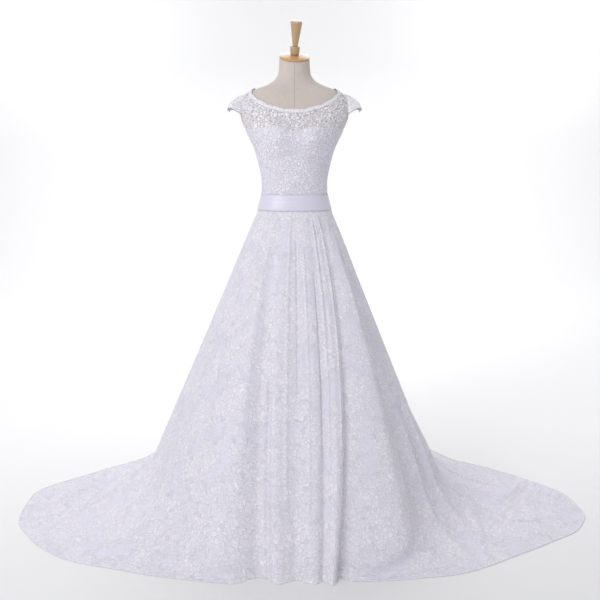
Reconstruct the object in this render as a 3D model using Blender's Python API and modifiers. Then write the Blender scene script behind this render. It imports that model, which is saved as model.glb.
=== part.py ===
"""A lace wedding dress worn by a linen dress form on a round stand.

The stand's base is centred on the origin, the dress faces -Y, and +X is on the right of a front view.
The form and the close-fitting bodice share one faceted body surface, so that every layer of cloth keeps
an even gap to the next. The skirt is lofted down columns that follow its folds from the waist seam to the
hem and out along the floor.
"""

import math
from collections import namedtuple

import bmesh
import bpy
import numpy as np
from mathutils import Euler, Vector
from mathutils.geometry import delaunay_2d_cdt

# Heights above the floor
FORM_FLOOR = 0.930
BELT_BOTTOM = 1.0915
WAIST_SEAM = 1.105
BELT_TOP = 1.1505
FRONT_NECK = 1.4545
BACK_NECK = 1.500
SHOULDER_NECK = 1.539
NECK_ROUNDNESS = 1.7
NECK_TOP = 1.655

# Gaps and walls of the cloth, measured outwards from the body surface
SEAM_GAP = 0.0003
SEAM_INSET = (0.06, SEAM_GAP / 2)
LINING_IN = 0.0006
LINING_WALL = 0.0012
LACE_IN = 0.0024
LACE_WALL = 0.0014
SKIRT_LINING_IN = 0.0022
SKIRT_LINING_WALL = 0.0010
SKIRT_LACE_IN = 0.0040
SKIRT_LACE_WALL = 0.0016
TRIM_IN = LACE_IN + LACE_WALL + SEAM_GAP
TRIM_WALL = 0.0012
BELT_TOP_IN = 0.0044
BELT_IN = 0.0068
BELT_WALL = 0.0018

# The body surface: one row of facets between each two sections
FACET_ANGLE = 11.25
Section = namedtuple("Section", "height half_width front back squareness")
SECTIONS = [
    Section(FORM_FLOOR, 0.148, 0.102, 0.104, 2.2),
    Section(0.985, 0.152, 0.106, 0.109, 2.2),
    Section(1.040, 0.144, 0.102, 0.099, 2.2),
    Section(BELT_BOTTOM, 0.1340, 0.0975, 0.0890, 2.1),
    Section(WAIST_SEAM, 0.1300, 0.0955, 0.0865, 2.1),
    Section(BELT_TOP, 0.1215, 0.0910, 0.0830, 2.1),
    Section(1.190, 0.1205, 0.0935, 0.0855, 2.1),
    Section(1.260, 0.1315, 0.1005, 0.0945, 2.2),
    Section(1.320, 0.1485, 0.1075, 0.1030, 2.3),
    Section(1.360, 0.1665, 0.1115, 0.1080, 2.3),
    Section(1.400, 0.1870, 0.1105, 0.1110, 2.3),
    Section(1.440, 0.2010, 0.1050, 0.1110, 2.3),
    Section(1.475, 0.2030, 0.0930, 0.1060, 2.3),
    Section(1.501, 0.1955, 0.0815, 0.0975, 2.2),
    Section(1.527, 0.1730, 0.0690, 0.0840, 2.1),
    Section(1.541, 0.1440, 0.0635, 0.0755, 2.0),
    Section(1.554, 0.1080, 0.0600, 0.0680, 2.0),
    Section(1.572, 0.0770, 0.0565, 0.0610, 2.0),
    Section(1.600, 0.0600, 0.0540, 0.0560, 2.0),
    Section(NECK_TOP, 0.0555, 0.0530, 0.0540, 2.0),
]

# Cups of the bodice
CUP_SIDE = 0.078
CUP_HEIGHT = 1.352
CUP_RISE = 0.020
CUP_SPREAD_ACROSS = 0.055
CUP_SPREAD_UP = 0.050

# The neck's cut top leans forward, and a little to one side
NECK_LEAN = math.radians(24)
NECK_ROLL = math.radians(3.4)
NECK_BEND_START = 1.560

# Armholes, as ellipses on the body surface
ARMHOLE_ANGLE = 90
ARMHOLE_HALF_ANGLE = 22
ARMHOLE_HEIGHT = 1.450
ARMHOLE_HALF_HEIGHT = 0.072
ARMHOLE_STEPS = 12

# Sweetheart edge of the lining
CUP_EDGE = 1.396
SIDE_EDGE = 1.372
NOTCH_DEPTH = 0.015
NOTCH_HALF_ANGLE = 9
BACK_LINING_EDGE = 1.366

# Scalloped trim along the neckline
TRIM_WIDTH = 0.013
SCALLOP_RISE = 0.004
FRONT_SCALLOPS = 11
BACK_SCALLOPS = 4

# Points of a cut edge closer than this to a facet's edge are moved onto it
SNAP = 0.0006

# Cut-out flowers of the sheer yoke and sleeves
PETALS = 5
PETAL_START = 0.0045
PETAL_END = 0.0165
PETAL_HALF_WIDTH = 0.0042
FLOWER_PITCH_ACROSS = 0.050
FLOWER_PITCH_UP = 0.040
FLOWER_MARGIN = 0.019
YOKE_LOWEST = 1.424
YOKE_RADIUS = 0.135

# Cap sleeves
SLEEVE_LENGTH = 0.078
SLEEVE_END_LENGTH = 0.013
SLEEVE_TAPER = 1.2
SLEEVE_FLARE = 0.35
SLEEVE_DROP = math.radians(47)
SLEEVE_SCALLOPS = 7
SLEEVE_SCALLOP_RISE = 0.004
SLEEVE_BULGE = 0.017
SLEEVE_FLOWERS = (0.26, 0.50, 0.74)
SLEEVE_FLOWER_HEIGHT = 0.50
SLEEVE_GAP = 0.0009

# Skirt: the reach of the hem from the stand, all round
HemReach = namedtuple("HemReach", "azimuth reach")
HEM = [
    HemReach(-180, 0.780),
    HemReach(-155, 0.730),
    HemReach(-135, 0.690),
    HemReach(-115, 0.700),
    HemReach(-99, 0.838),
    HemReach(-87, 1.000),
    HemReach(-78, 1.006),
    HemReach(-69, 0.958),
    HemReach(-59, 0.880),
    HemReach(-46, 0.752),
    HemReach(-26, 0.643),
    HemReach(0, 0.580),
    HemReach(13, 0.596),
    HemReach(34, 0.679),
    HemReach(43, 0.743),
    HemReach(57, 0.834),
    HemReach(67, 0.936),
    HemReach(74, 1.028),
    HemReach(80, 1.062),
    HemReach(86, 1.045),
    HemReach(96, 0.915),
    HemReach(104, 0.805),
    HemReach(112, 0.720),
    HemReach(135, 0.690),
    HemReach(155, 0.730),
    HemReach(180, 0.780),
]

# Where the straight fall of the skirt would meet the floor
Foot = namedtuple("Foot", "azimuth reach")
FEET = [
    Foot(-180, 0.560),
    Foot(-90, 0.590),
    Foot(-45, 0.605),
    Foot(-25, 0.620),
    Foot(0, 0.580),
    Foot(20, 0.600),
    Foot(45, 0.600),
    Foot(90, 0.560),
    Foot(180, 0.560),
]
LONGEST_SWEEP = 0.22
SWEEP_SHARE = 0.92

# Where the sweep to the floor begins: its shares of the sweep and of the straight fall
LIFT_OF_SWEEP = 1.1
LIFT_OF_FALL = 0.5

# The skirt clears the belt's lower edge by this much, outwards and down
BEND_OUT = 0.0004
BEND_DROP = 0.002

# How a place on the waist seam moves round as it falls to the hem
Path = namedtuple("Path", "waist_angle hem_azimuth")
PATHS = [
    Path(-180, -180),
    Path(-120, -119),
    Path(-90, -90),
    Path(-60, -57),
    Path(-34, -26),
    Path(-22, -11.5),
    Path(1, 0.5),
    Path(20, 8.5),
    Path(31, 11),
    Path(43, 13.5),
    Path(50, 38),
    Path(61, 52),
    Path(75, 70),
    Path(89, 86),
    Path(120, 118),
    Path(180, 180),
]
PATH_POWER = 0.7

# Folds of the skirt: depth is positive on a ridge and negative in a valley
Fold = namedtuple("Fold", "waist_angle half_width depth")
FOLDS = [
    Fold(-172, 5, -0.014),
    Fold(-162, 6, 0.020),
    Fold(-149, 6, -0.022),
    Fold(-136, 6, 0.022),
    Fold(-122, 6, -0.020),
    Fold(-109, 6, 0.018),
    Fold(-96, 6, -0.016),
    Fold(-83, 6, 0.014),
    Fold(-70, 6, -0.014),
    Fold(-57, 6, 0.014),
    Fold(-45, 5, -0.014),
    Fold(-34, 6, 0.014),
    Fold(-22, 4.5, -0.030),
    Fold(-11, 5, 0.012),
    Fold(1, 4, -0.008),
    Fold(12, 5, 0.010),
    Fold(20, 3, -0.010),
    Fold(31, 6, 0.016),
    Fold(43, 3, -0.040),
    Fold(50, 4, 0.034),
    Fold(61, 5, -0.018),
    Fold(70, 5, 0.020),
    Fold(80, 5, -0.016),
    Fold(89, 5, 0.018),
    Fold(100, 5, -0.018),
    Fold(111, 6, 0.020),
    Fold(123, 6, -0.020),
    Fold(136, 6, 0.022),
    Fold(149, 6, -0.022),
    Fold(162, 6, 0.020),
    Fold(172, 5, -0.014),
]
RIDGE_ON_FLOOR = 0.8
RIDGE_FADE = 4.0
FLANK = 0.6
FLANKED_ANGLE = 115
WIDEST_STEP = 9
LINING_WIDENING = 1.7

# Gores of the lace skirt and of its lining, from one waist angle to the next
Gore = namedtuple("Gore", "name start end")
LACE_GORES = [
    Gore("skirt_lace_front", -34, 31),
    Gore("skirt_lace_side_right", 31, 89),
    Gore("skirt_lace_back_right", 89, 180),
    Gore("skirt_lace_back_left", -180, -83),
    Gore("skirt_lace_side_left", -83, -34),
]
LINING_GORES = [
    Gore("skirt_lining_front", -83, 89),
    Gore("skirt_lining_back_right", 89, 180),
    Gore("skirt_lining_back_left", -180, -83),
]
LACE_ROWS = 13
ROW_POWER = 1.2
LINING_ROWS = (0, 2, 4, 6, 8, 9, 10, 11)
LINING_LIFT = 0.0038
LINING_LIFT_END = 0.93
LINING_EASE = 0.028
SPLIT_RISE = 0.008
WALL_TILT = math.radians(23)

# Closure at the centre back
BUTTONS = 9
BUTTON_TOP = 1.470
BUTTON_PITCH = 0.036
BUTTON_RADIUS = 0.005
BUTTON_HEIGHT = 0.0036
BUTTON_SEAT = TRIM_IN + TRIM_WALL + 0.0005
PLACKET_HALF_ANGLE = 6

# Dress form, stand and its wooden fittings
CAP_RADIUS = 0.0565
CAP_RIM = 0.007
CAP_DOME = 0.008
COLLAR_RADIUS = 0.018
COLLAR_HEIGHT = 0.030
FINIAL_TOP_RADIUS = 0.022
FINIAL_FOOT_RADIUS = 0.0105
FINIAL_HEIGHT = 0.092
POLE_RADIUS = 0.015
BASE_RADIUS = 0.175
BASE_RIM = 0.010
BASE_SOCKET_RADIUS = 0.027
BASE_HEIGHT = 0.060

COLOURS = {
    "lace": (0.80, 0.80, 0.88, 0.75, 0.0),
    "satin": (0.74, 0.73, 0.82, 0.35, 0.0),
    "linen": (0.58, 0.53, 0.50, 0.90, 0.0),
    "wood": (0.62, 0.40, 0.20, 0.45, 0.0),
    "painted_steel": (0.30, 0.30, 0.31, 0.40, 0.6),
}


def clear_scene():
    for item in list(bpy.data.objects):
        bpy.data.objects.remove(item, do_unlink=True)
    made = bpy.data.collections.new("wedding_dress_on_form")
    bpy.context.scene.collection.children.link(made)
    return made


def make_materials():
    made = {}
    for name, (red, green, blue, roughness, metallic) in COLOURS.items():
        material = bpy.data.materials.new(name)
        material.use_nodes = True
        shader = material.node_tree.nodes["Principled BSDF"]
        shader.inputs["Base Color"].default_value = (red, green, blue, 1)
        shader.inputs["Roughness"].default_value = roughness
        shader.inputs["Metallic"].default_value = metallic
        made[name] = material
    return made


def add_object(name, mesh, material):
    item = bpy.data.objects.new(name, mesh)
    mesh.materials.append(MATERIALS[material])
    PARTS.objects.link(item)
    return item


def thicken(item, wall):
    """Give an open surface a wall on its outer side."""
    solid = item.modifiers.new("wall", "SOLIDIFY")
    solid.thickness = wall
    solid.offset = 1
    solid.use_rim = True
    solid.use_even_offset = False


def along(rows, key, value, place):
    """Read one column of a table at a place between its rows."""
    return float(np.interp(place, [getattr(row, key) for row in rows], [getattr(row, value) for row in rows]))


def signed_power(value, power):
    return math.copysign(abs(value) ** power, value)


def cup_rise(across, height):
    """How far the cups stand out in front of the plain section."""
    up = ((height - CUP_HEIGHT) / CUP_SPREAD_UP) ** 2
    sides = [((across - side) / CUP_SPREAD_ACROSS) ** 2 for side in (-CUP_SIDE, CUP_SIDE)]
    return CUP_RISE * math.exp(-up) * max(math.exp(-side) for side in sides)


def neck_shift(across, depth, height):
    """Lower the front of the neck's cut top, so that it leans forward."""
    share = min(1.0, max(0.0, (height - NECK_BEND_START) / (NECK_TOP - NECK_BEND_START)))
    return share * (math.tan(NECK_LEAN) * depth - math.tan(NECK_ROLL) * across)


def body_point(angle, section):
    """A point of the body surface. The angle is 0 at the front and grows towards +X."""
    turn = math.radians(angle)
    power = 2 / section.squareness
    across = section.half_width * signed_power(math.sin(turn), power)
    facing = math.cos(turn)
    reach = section.front if facing > 0 else section.back
    depth = -reach * signed_power(facing, power)
    if facing > 0:
        depth -= cup_rise(across, section.height) * facing
    return (across, depth, section.height + neck_shift(across, depth, section.height))


class Surface:
    """A faceted sheet of points and normals over two parameters, each cell split along one diagonal."""

    def __init__(self, firsts, seconds, points, period=0):
        self.firsts = firsts
        self.seconds = seconds
        self.points = np.array(points, float)
        self.period = period
        self.normals = self.make_normals()

    def make_normals(self):
        if self.period:
            ring = self.points[:-1]
            across = np.roll(ring, -1, axis=0) - np.roll(ring, 1, axis=0)
            across = np.concatenate([across, across[:1]])
        else:
            across = np.gradient(self.points, axis=0)
        up = np.gradient(self.points, axis=1)
        normals = np.cross(across, up)
        return normals / np.linalg.norm(normals, axis=2, keepdims=True)

    def cell(self, first, second):
        if self.period:
            first = self.firsts[0] + (first - self.firsts[0]) % self.period
        column = min(max(int(np.searchsorted(self.firsts, first, "right")) - 1, 0), len(self.firsts) - 2)
        row = min(max(int(np.searchsorted(self.seconds, second, "right")) - 1, 0), len(self.seconds) - 2)
        s = (first - self.firsts[column]) / (self.firsts[column + 1] - self.firsts[column])
        t = (second - self.seconds[row]) / (self.seconds[row + 1] - self.seconds[row])
        return column, row, s, t

    def blend(self, grid, first, second):
        column, row, s, t = self.cell(first, second)
        low, high = grid[column, row], grid[column + 1, row + 1]
        if s >= t:
            corner = grid[column + 1, row]
            return low + s * (corner - low) + t * (high - corner)
        corner = grid[column, row + 1]
        return low + t * (corner - low) + s * (high - corner)

    def at(self, first, second, out=0.0):
        return self.blend(self.points, first, second) + out * self.blend(self.normals, first, second)

    def stretch(self, first, second):
        """Metres along the surface for one step of each parameter."""
        step = 1.0 if self.period else 0.01
        rise = 0.004 if self.period else 0.01
        here = self.at(first, second)
        across = np.linalg.norm(self.at(first + step, second) - here) / step
        up = np.linalg.norm(self.at(first, second + rise) - here) / rise
        return across, up


def facet_angles():
    return [-180 + FACET_ANGLE * k for k in range(round(360 / FACET_ANGLE) + 1)]


def make_body():
    angles = facet_angles()
    heights = [section.height for section in SECTIONS]
    points = [[body_point(angle, section) for section in SECTIONS] for angle in angles]
    return Surface(angles, heights, points, period=360)


def inside(outline, first, second):
    """Whether a point lies inside a closed outline, by counting crossings."""
    odd = False
    for (a1, b1), (a2, b2) in zip(outline, outline[1:] + outline[:1]):
        if (b1 > second) != (b2 > second):
            if first < a1 + (second - b1) * (a2 - a1) / (b2 - b1):
                odd = not odd
    return odd


def grid_edges(surface, outline, width, height):
    """The facet edges of a surface around an outline, as points and edges in scaled parameters."""
    firsts = [point[0] for point in outline]
    seconds = [point[1] for point in outline]
    cell = (surface.firsts[-1] - surface.firsts[0]) / (len(surface.firsts) - 1)
    first_index = math.floor((min(firsts) - surface.firsts[0]) / cell)
    last_index = math.ceil((max(firsts) - surface.firsts[0]) / cell)
    columns = [surface.firsts[0] + cell * index for index in range(first_index, last_index + 1)]
    low = max(value for value in surface.seconds if value <= min(seconds) + 1e-9)
    high = min(value for value in surface.seconds if value >= max(seconds) - 1e-9)
    rows = [value for value in surface.seconds if low <= value <= high]
    points = [(column * width, row * height) for column in columns for row in rows]
    edges = []
    count = len(rows)
    for column in range(len(columns)):
        for row in range(count):
            here = column * count + row
            if row + 1 < count:
                edges.append((here, here + 1))
            if column + 1 < len(columns):
                edges.append((here, here + count))
            if row + 1 < count and column + 1 < len(columns):
                edges.append((here, here + count + 1))
    return points, edges


def drawn_in(spot, outline, inset):
    """Draw a point on a piece's straight seams in by half the seam's gap."""
    first, second = spot
    firsts = [point[0] for point in outline]
    if first < min(firsts) + 1e-5:
        first += inset[0]
    if first > max(firsts) - 1e-5:
        first -= inset[0]
    if second < min(point[1] for point in outline) + 1e-6:
        second += inset[1]
    return first, second


def panel(name, surface, outline, holes, inner, wall, material, inset=(0, 0)):
    """A flat-cut piece of cloth laid on a surface: its outline and holes are in the surface's parameters."""
    width, height = surface.stretch(outline[0][0], outline[0][1])
    points, edges = grid_edges(surface, outline, width, height)
    for loop in [outline] + holes:
        start = len(points)
        points += [(first * width, second * height) for first, second in loop]
        edges += [(start + k, start + (k + 1) % len(loop)) for k in range(len(loop))]
    flat = [Vector(point) for point in points]
    verts, _, faces, _, _, _ = delaunay_2d_cdt(flat, edges, [], 0, SNAP, False)
    made = bmesh.new()
    spots = [(vert.x / width, vert.y / height) for vert in verts]
    places = [drawn_in(spot, outline, inset) for spot in spots]
    kept = {}
    for face in faces:
        centre = [sum(spots[k][axis] for k in face) / len(face) for axis in (0, 1)]
        if not inside(outline, *centre) or any(inside(hole, *centre) for hole in holes):
            continue
        for k in face:
            if k not in kept:
                kept[k] = made.verts.new(surface.at(*places[k], inner))
        made.faces.new([kept[k] for k in face])
    mesh = bpy.data.meshes.new(name)
    made.to_mesh(mesh)
    made.free()
    item = add_object(name, mesh, material)
    thicken(item, wall)
    return item


def sheet(name, columns, wall, material, closed=False, low=False):
    """A loft through columns of points, each running down the piece, with a wall on its outer side.

    Cells are split so that a sheet bridges the hollows under it, or sinks into them where low is set.
    """
    made = bmesh.new()
    grid = [[made.verts.new(point) for point in column] for column in columns]
    pairs = list(zip(grid, grid[1:]))
    if closed:
        pairs.append((grid[-1], grid[0]))
    for left, right in pairs:
        for k in range(len(left) - 1):
            rise = left[k].co.z + right[k + 1].co.z - left[k + 1].co.z - right[k].co.z
            if rise < -SPLIT_RISE and not low or rise > SPLIT_RISE and low:
                made.faces.new((left[k], left[k + 1], right[k]))
                made.faces.new((left[k + 1], right[k + 1], right[k]))
            else:
                made.faces.new((left[k], left[k + 1], right[k + 1]))
                made.faces.new((left[k], right[k + 1], right[k]))
    mesh = bpy.data.meshes.new(name)
    made.to_mesh(mesh)
    made.free()
    item = add_object(name, mesh, material)
    thicken(item, wall)
    return item


def turned(name, profile, material, steps):
    """A turned piece: its profile is radius and height, from the top down."""
    mesh = bpy.data.meshes.new(name)
    mesh.from_pydata([(radius, 0, height) for radius, height in profile],
                     [(k, k + 1) for k in range(len(profile) - 1)], [])
    item = add_object(name, mesh, material)
    screw = item.modifiers.new("turn", "SCREW")
    screw.steps = steps
    screw.render_steps = steps
    screw.use_merge_vertices = True
    screw.merge_threshold = 0.00001
    screw.use_smooth_shade = True
    return item


def neckline(angle):
    """Height of the neck edge: a scoop, lower in front than at the back."""
    facing = abs(math.sin(math.radians(angle))) ** NECK_ROUNDNESS
    low = FRONT_NECK if math.cos(math.radians(angle)) > 0 else BACK_NECK
    return low + (SHOULDER_NECK - low) * facing


def sweetheart(angle):
    """Height of the front lining's edge: two cups with a notch between them."""
    notch = NOTCH_DEPTH * math.exp(-((angle / NOTCH_HALF_ANGLE) ** 2))
    side = (CUP_EDGE - SIDE_EDGE) * (abs(angle) / 90) ** 4
    return CUP_EDGE - notch - side


def armhole_arc(centre, start, end, steps):
    """Points on an armhole's ellipse. A turn of 0 faces growing angles and 90 degrees is the shoulder."""
    points = []
    for k in range(steps + 1):
        turn = math.radians(start + (end - start) * k / steps)
        points.append((centre + ARMHOLE_HALF_ANGLE * math.cos(turn),
                       ARMHOLE_HEIGHT + ARMHOLE_HALF_HEIGHT * math.sin(turn)))
    return points


def neck_arc(start, end, steps):
    angles = [start + (end - start) * k / steps for k in range(steps + 1)]
    return [(angle, neckline(angle)) for angle in angles]


def bodice_outline(left, right):
    """Outline of a lace panel between two side or back seams, with half an armhole on each side seam."""
    outline = [(left, WAIST_SEAM), (right, WAIST_SEAM)]
    if right % 180 == ARMHOLE_ANGLE:
        outline += armhole_arc(right, -90, -270, ARMHOLE_STEPS)
    outline += neck_arc(right, left, 24 if right - left > 90 else 12)
    if left % 180 == ARMHOLE_ANGLE:
        outline += armhole_arc(left, 90, -90, ARMHOLE_STEPS)
    return outline


def flower(surface, first, second, turn):
    """Petal-shaped gaps round one point of a surface."""
    across, up = surface.stretch(first, second)
    petals = []
    for petal in range(PETALS):
        aim = turn + 2 * math.pi * petal / PETALS
        middle = PETAL_START + 0.62 * (PETAL_END - PETAL_START)
        corners = [(PETAL_START, 0), (middle, -PETAL_HALF_WIDTH), (PETAL_END, 0), (middle, PETAL_HALF_WIDTH)]
        loop = []
        for out, side in corners:
            x = out * math.cos(aim) - side * math.sin(aim)
            y = out * math.sin(aim) + side * math.cos(aim)
            loop.append((first + x / across, second + y / up))
        petals.append(loop)
    return petals


def clear_of_edges(surface, outline, first, second, margin):
    """Whether a round patch lies wholly inside an outline."""
    across, up = surface.stretch(first, second)
    for k in range(12):
        turn = math.radians(30 * k)
        spot = (first + margin * math.cos(turn) / across, second + margin * math.sin(turn) / up)
        if not inside(outline, *spot):
            return False
    return True


def yoke_flowers(outline, left, right):
    """Flowers set in staggered rows over the part of a bodice panel above its lining."""
    gaps = []
    row = 0
    height = YOKE_LOWEST
    middle = (left + right) / 2
    while height < SHOULDER_NECK:
        up = BODY.stretch(middle, height)[1]
        pitch = math.degrees(FLOWER_PITCH_ACROSS / YOKE_RADIUS)
        count = int((right - left) / pitch) + 1
        for k in range(-count, count + 1):
            angle = middle + pitch * (k + 0.5 * (row % 2))
            if left < angle < right and clear_of_edges(BODY, outline, angle, height, FLOWER_MARGIN):
                gaps += flower(BODY, angle, height, math.radians(90 + 36 * (k % 2)))
        height += FLOWER_PITCH_UP / max(up, 1.0)
        row += 1
    return gaps


def make_bodice_lining():
    angles = (-90, -70, -50, -35, -20, -12, -6, 0, 6, 12, 20, 35, 50, 70, 90)
    front = [(-90, WAIST_SEAM), (90, WAIST_SEAM)]
    front += [(angle, sweetheart(angle)) for angle in reversed(angles)]
    panel("bodice_lining_front", BODY, front, [], LINING_IN, LINING_WALL, "satin", SEAM_INSET)
    for name, left, right in (("bodice_lining_back_right", 90, 180), ("bodice_lining_back_left", 180, 270)):
        heights = (BACK_LINING_EDGE, SIDE_EDGE) if left == 180 else (SIDE_EDGE, BACK_LINING_EDGE)
        edge = [(left, WAIST_SEAM), (right, WAIST_SEAM), (right, heights[1]), (left, heights[0])]
        panel(name, BODY, edge, [], LINING_IN, LINING_WALL, "satin", SEAM_INSET)


def make_bodice_lace():
    for name, left, right in (
        ("bodice_lace_front", -90, 90),
        ("bodice_lace_back_right", 90, 180),
        ("bodice_lace_back_left", 180, 270),
    ):
        outline = bodice_outline(left, right)
        gaps = yoke_flowers(trimmed(outline), left, right)
        panel(name, BODY, outline, gaps, LACE_IN, LACE_WALL, "lace", SEAM_INSET)


def trimmed(outline):
    """A panel's outline, lowered along the neck edge to the foot of the trim."""
    lowered = []
    for angle, height in outline:
        if height > WAIST_SEAM + 0.3 and abs(height - neckline(angle)) < 0.0005:
            height -= 0.5 * TRIM_WIDTH / BODY.stretch(angle, height - 0.01)[1]
        lowered.append((angle, height))
    return lowered


def trim_outline(left, right, scallops):
    """A band along the neck edge whose upper side is scalloped."""
    low = []
    high = []
    steps = scallops * 3
    for k in range(steps + 1):
        angle = left + (right - left) * k / steps
        edge = neckline(angle)
        slope = BODY.stretch(angle, edge - 0.008)[1]
        wave = abs(math.sin(math.pi * k / 3))
        high.append((angle, edge + SCALLOP_RISE * wave / slope))
        if k % 3 == 0:
            low.append((angle, edge - TRIM_WIDTH / slope))
    return low + high[::-1]


def make_neck_trims():
    for name, left, right, scallops in (
        ("neck_trim_front", -90, 90, FRONT_SCALLOPS),
        ("neck_trim_back_right", 90, 180, BACK_SCALLOPS),
        ("neck_trim_back_left", 180, 270, BACK_SCALLOPS),
    ):
        panel(name, BODY, trim_outline(left, right, scallops), [], TRIM_IN, TRIM_WALL, "lace", SEAM_INSET)


def sleeve_surface(side):
    """A cap that falls outwards from the shoulder half of an armhole."""
    steps = range(ARMHOLE_STEPS + 1)
    shares = [0.0, 0.5, 1.0]
    columns = []
    for step in steps:
        turn = math.pi * step / ARMHOLE_STEPS
        lift = math.sin(turn)
        inset = SLEEVE_GAP + (LACE_WALL + SEAM_GAP) * abs(math.cos(turn))
        across, up = BODY.stretch(side * ARMHOLE_ANGLE, ARMHOLE_HEIGHT)
        spot = (side * ARMHOLE_ANGLE + (ARMHOLE_HALF_ANGLE - inset / across) * math.cos(turn),
                ARMHOLE_HEIGHT + (ARMHOLE_HALF_HEIGHT - inset / up) * lift)
        root = BODY.at(*spot, LACE_IN)
        facing = math.copysign(abs(math.cos(turn)), root[1])
        level = side * math.cos(SLEEVE_DROP * lift)
        aim = np.array((level, SLEEVE_FLARE * facing, -math.sin(SLEEVE_DROP) * lift))
        aim /= np.linalg.norm(aim)
        length = SLEEVE_END_LENGTH + SLEEVE_LENGTH * lift ** SLEEVE_TAPER
        arch = np.array((side * math.sin(SLEEVE_DROP), 0, math.cos(SLEEVE_DROP)))
        columns.append([root + share * length * aim + 4 * share * (1 - share) * SLEEVE_BULGE * lift * arch
                        for share in shares])
    return Surface([float(k) for k in steps], shares, columns)


def make_cap_sleeves():
    for name, side in (("cap_sleeve_left", -1), ("cap_sleeve_right", 1)):
        surface = sleeve_surface(side)
        outline = [(float(k), 0.0) for k in range(ARMHOLE_STEPS + 1)]
        steps = SLEEVE_SCALLOPS * 4
        for k in range(steps, -1, -1):
            place = ARMHOLE_STEPS * k / steps
            wave = abs(math.sin(math.pi * k / 4))
            length = max(surface.stretch(min(place, ARMHOLE_STEPS - 0.5), 0.5)[1], 0.012)
            outline.append((place, 1.0 - SLEEVE_SCALLOP_RISE * (1 - wave) / length))
        gaps = []
        for place in SLEEVE_FLOWERS:
            gaps += flower(surface, place * ARMHOLE_STEPS, SLEEVE_FLOWER_HEIGHT, math.radians(90))
        panel(name, surface, outline, gaps, 0.0, LACE_WALL, "lace")


def make_belt():
    rows = ((BELT_TOP, BELT_TOP_IN), (WAIST_SEAM, BELT_IN), (BELT_BOTTOM, BELT_IN))
    ring = [[BODY.at(angle, height, inner) for height, inner in rows] for angle in facet_angles()[:-1]]
    sheet("belt", ring, BELT_WALL, "satin", closed=True)
    over = BELT_WALL + 1.5 * SEAM_GAP
    lap = [[BODY.at(angle, height, inner + over) for height, inner in rows]
           for angle in (180 - 2 * FACET_ANGLE, 180 - FACET_ANGLE, 178)]
    sheet("belt_end", lap, BELT_WALL, "satin")


def make_placket():
    top = neckline(180) - TRIM_WIDTH - 0.0008
    bottom = BELT_TOP + 0.0008
    left, right = 180 - PLACKET_HALF_ANGLE, 180 + PLACKET_HALF_ANGLE
    outline = [(left, bottom), (right, bottom), (right, top), (left, top)]
    panel("back_placket", BODY, outline, [], TRIM_IN, TRIM_WALL, "lace")


def make_buttons():
    profile = [(0, BUTTON_HEIGHT), (0.62 * BUTTON_RADIUS, 0.84 * BUTTON_HEIGHT),
               (BUTTON_RADIUS, 0.35 * BUTTON_HEIGHT), (0.9 * BUTTON_RADIUS, 0), (0, 0)]
    for k in range(BUTTONS):
        height = BUTTON_TOP - BUTTON_PITCH * k
        item = turned(f"button_{k + 1:02d}", profile, "satin", 8)
        out = Vector(BODY.at(180, height, 1.0) - BODY.at(180, height))
        item.location = BODY.at(180, height, BUTTON_SEAT)
        item.rotation_euler = out.to_track_quat("Z", "Y").to_euler()


def hem_azimuth(angle):
    return along(PATHS, "waist_angle", "hem_azimuth", angle)


def fall_line(angle):
    """A fold-free line down the skirt: radius and height, with the turn of its outer side to the floor."""
    azimuth = hem_azimuth(angle)
    reach = along(HEM, "azimuth", "reach", azimuth)
    foot = min(along(FEET, "azimuth", "reach", azimuth), reach)
    waist = BODY.at(angle, WAIST_SEAM, SKIRT_LACE_IN)
    hip = BODY.at(angle, BELT_BOTTOM, SKIRT_LACE_IN)
    start = (math.hypot(waist[0], waist[1]), WAIST_SEAM - SEAM_GAP / 2)
    bend = (math.hypot(hip[0], hip[1]) + BEND_OUT, BELT_BOTTOM - BEND_DROP)
    sweep = SWEEP_SHARE * min(reach - foot, LONGEST_SWEEP)
    length = math.hypot(foot - bend[0], bend[1])
    down = ((foot - bend[0]) / length, -bend[1] / length)
    lift = min(LIFT_OF_SWEEP * sweep, LIFT_OF_FALL * length)
    begin = (foot - lift * down[0], -lift * down[1])
    end = (foot + sweep, 0.0)
    curve = [start, bend]
    curve += [(bend[0] + (begin[0] - bend[0]) * k / 8, bend[1] + (begin[1] - bend[1]) * k / 8)
              for k in range(1, 8)]
    for k in range(9):
        t = k / 8
        curve.append(tuple((1 - t) ** 2 * a + 2 * t * (1 - t) * b + t * t * c
                           for a, b, c in zip(begin, (foot, 0.0), end)))
    curve.append((reach, 0.0))
    return start, bend, curve


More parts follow.
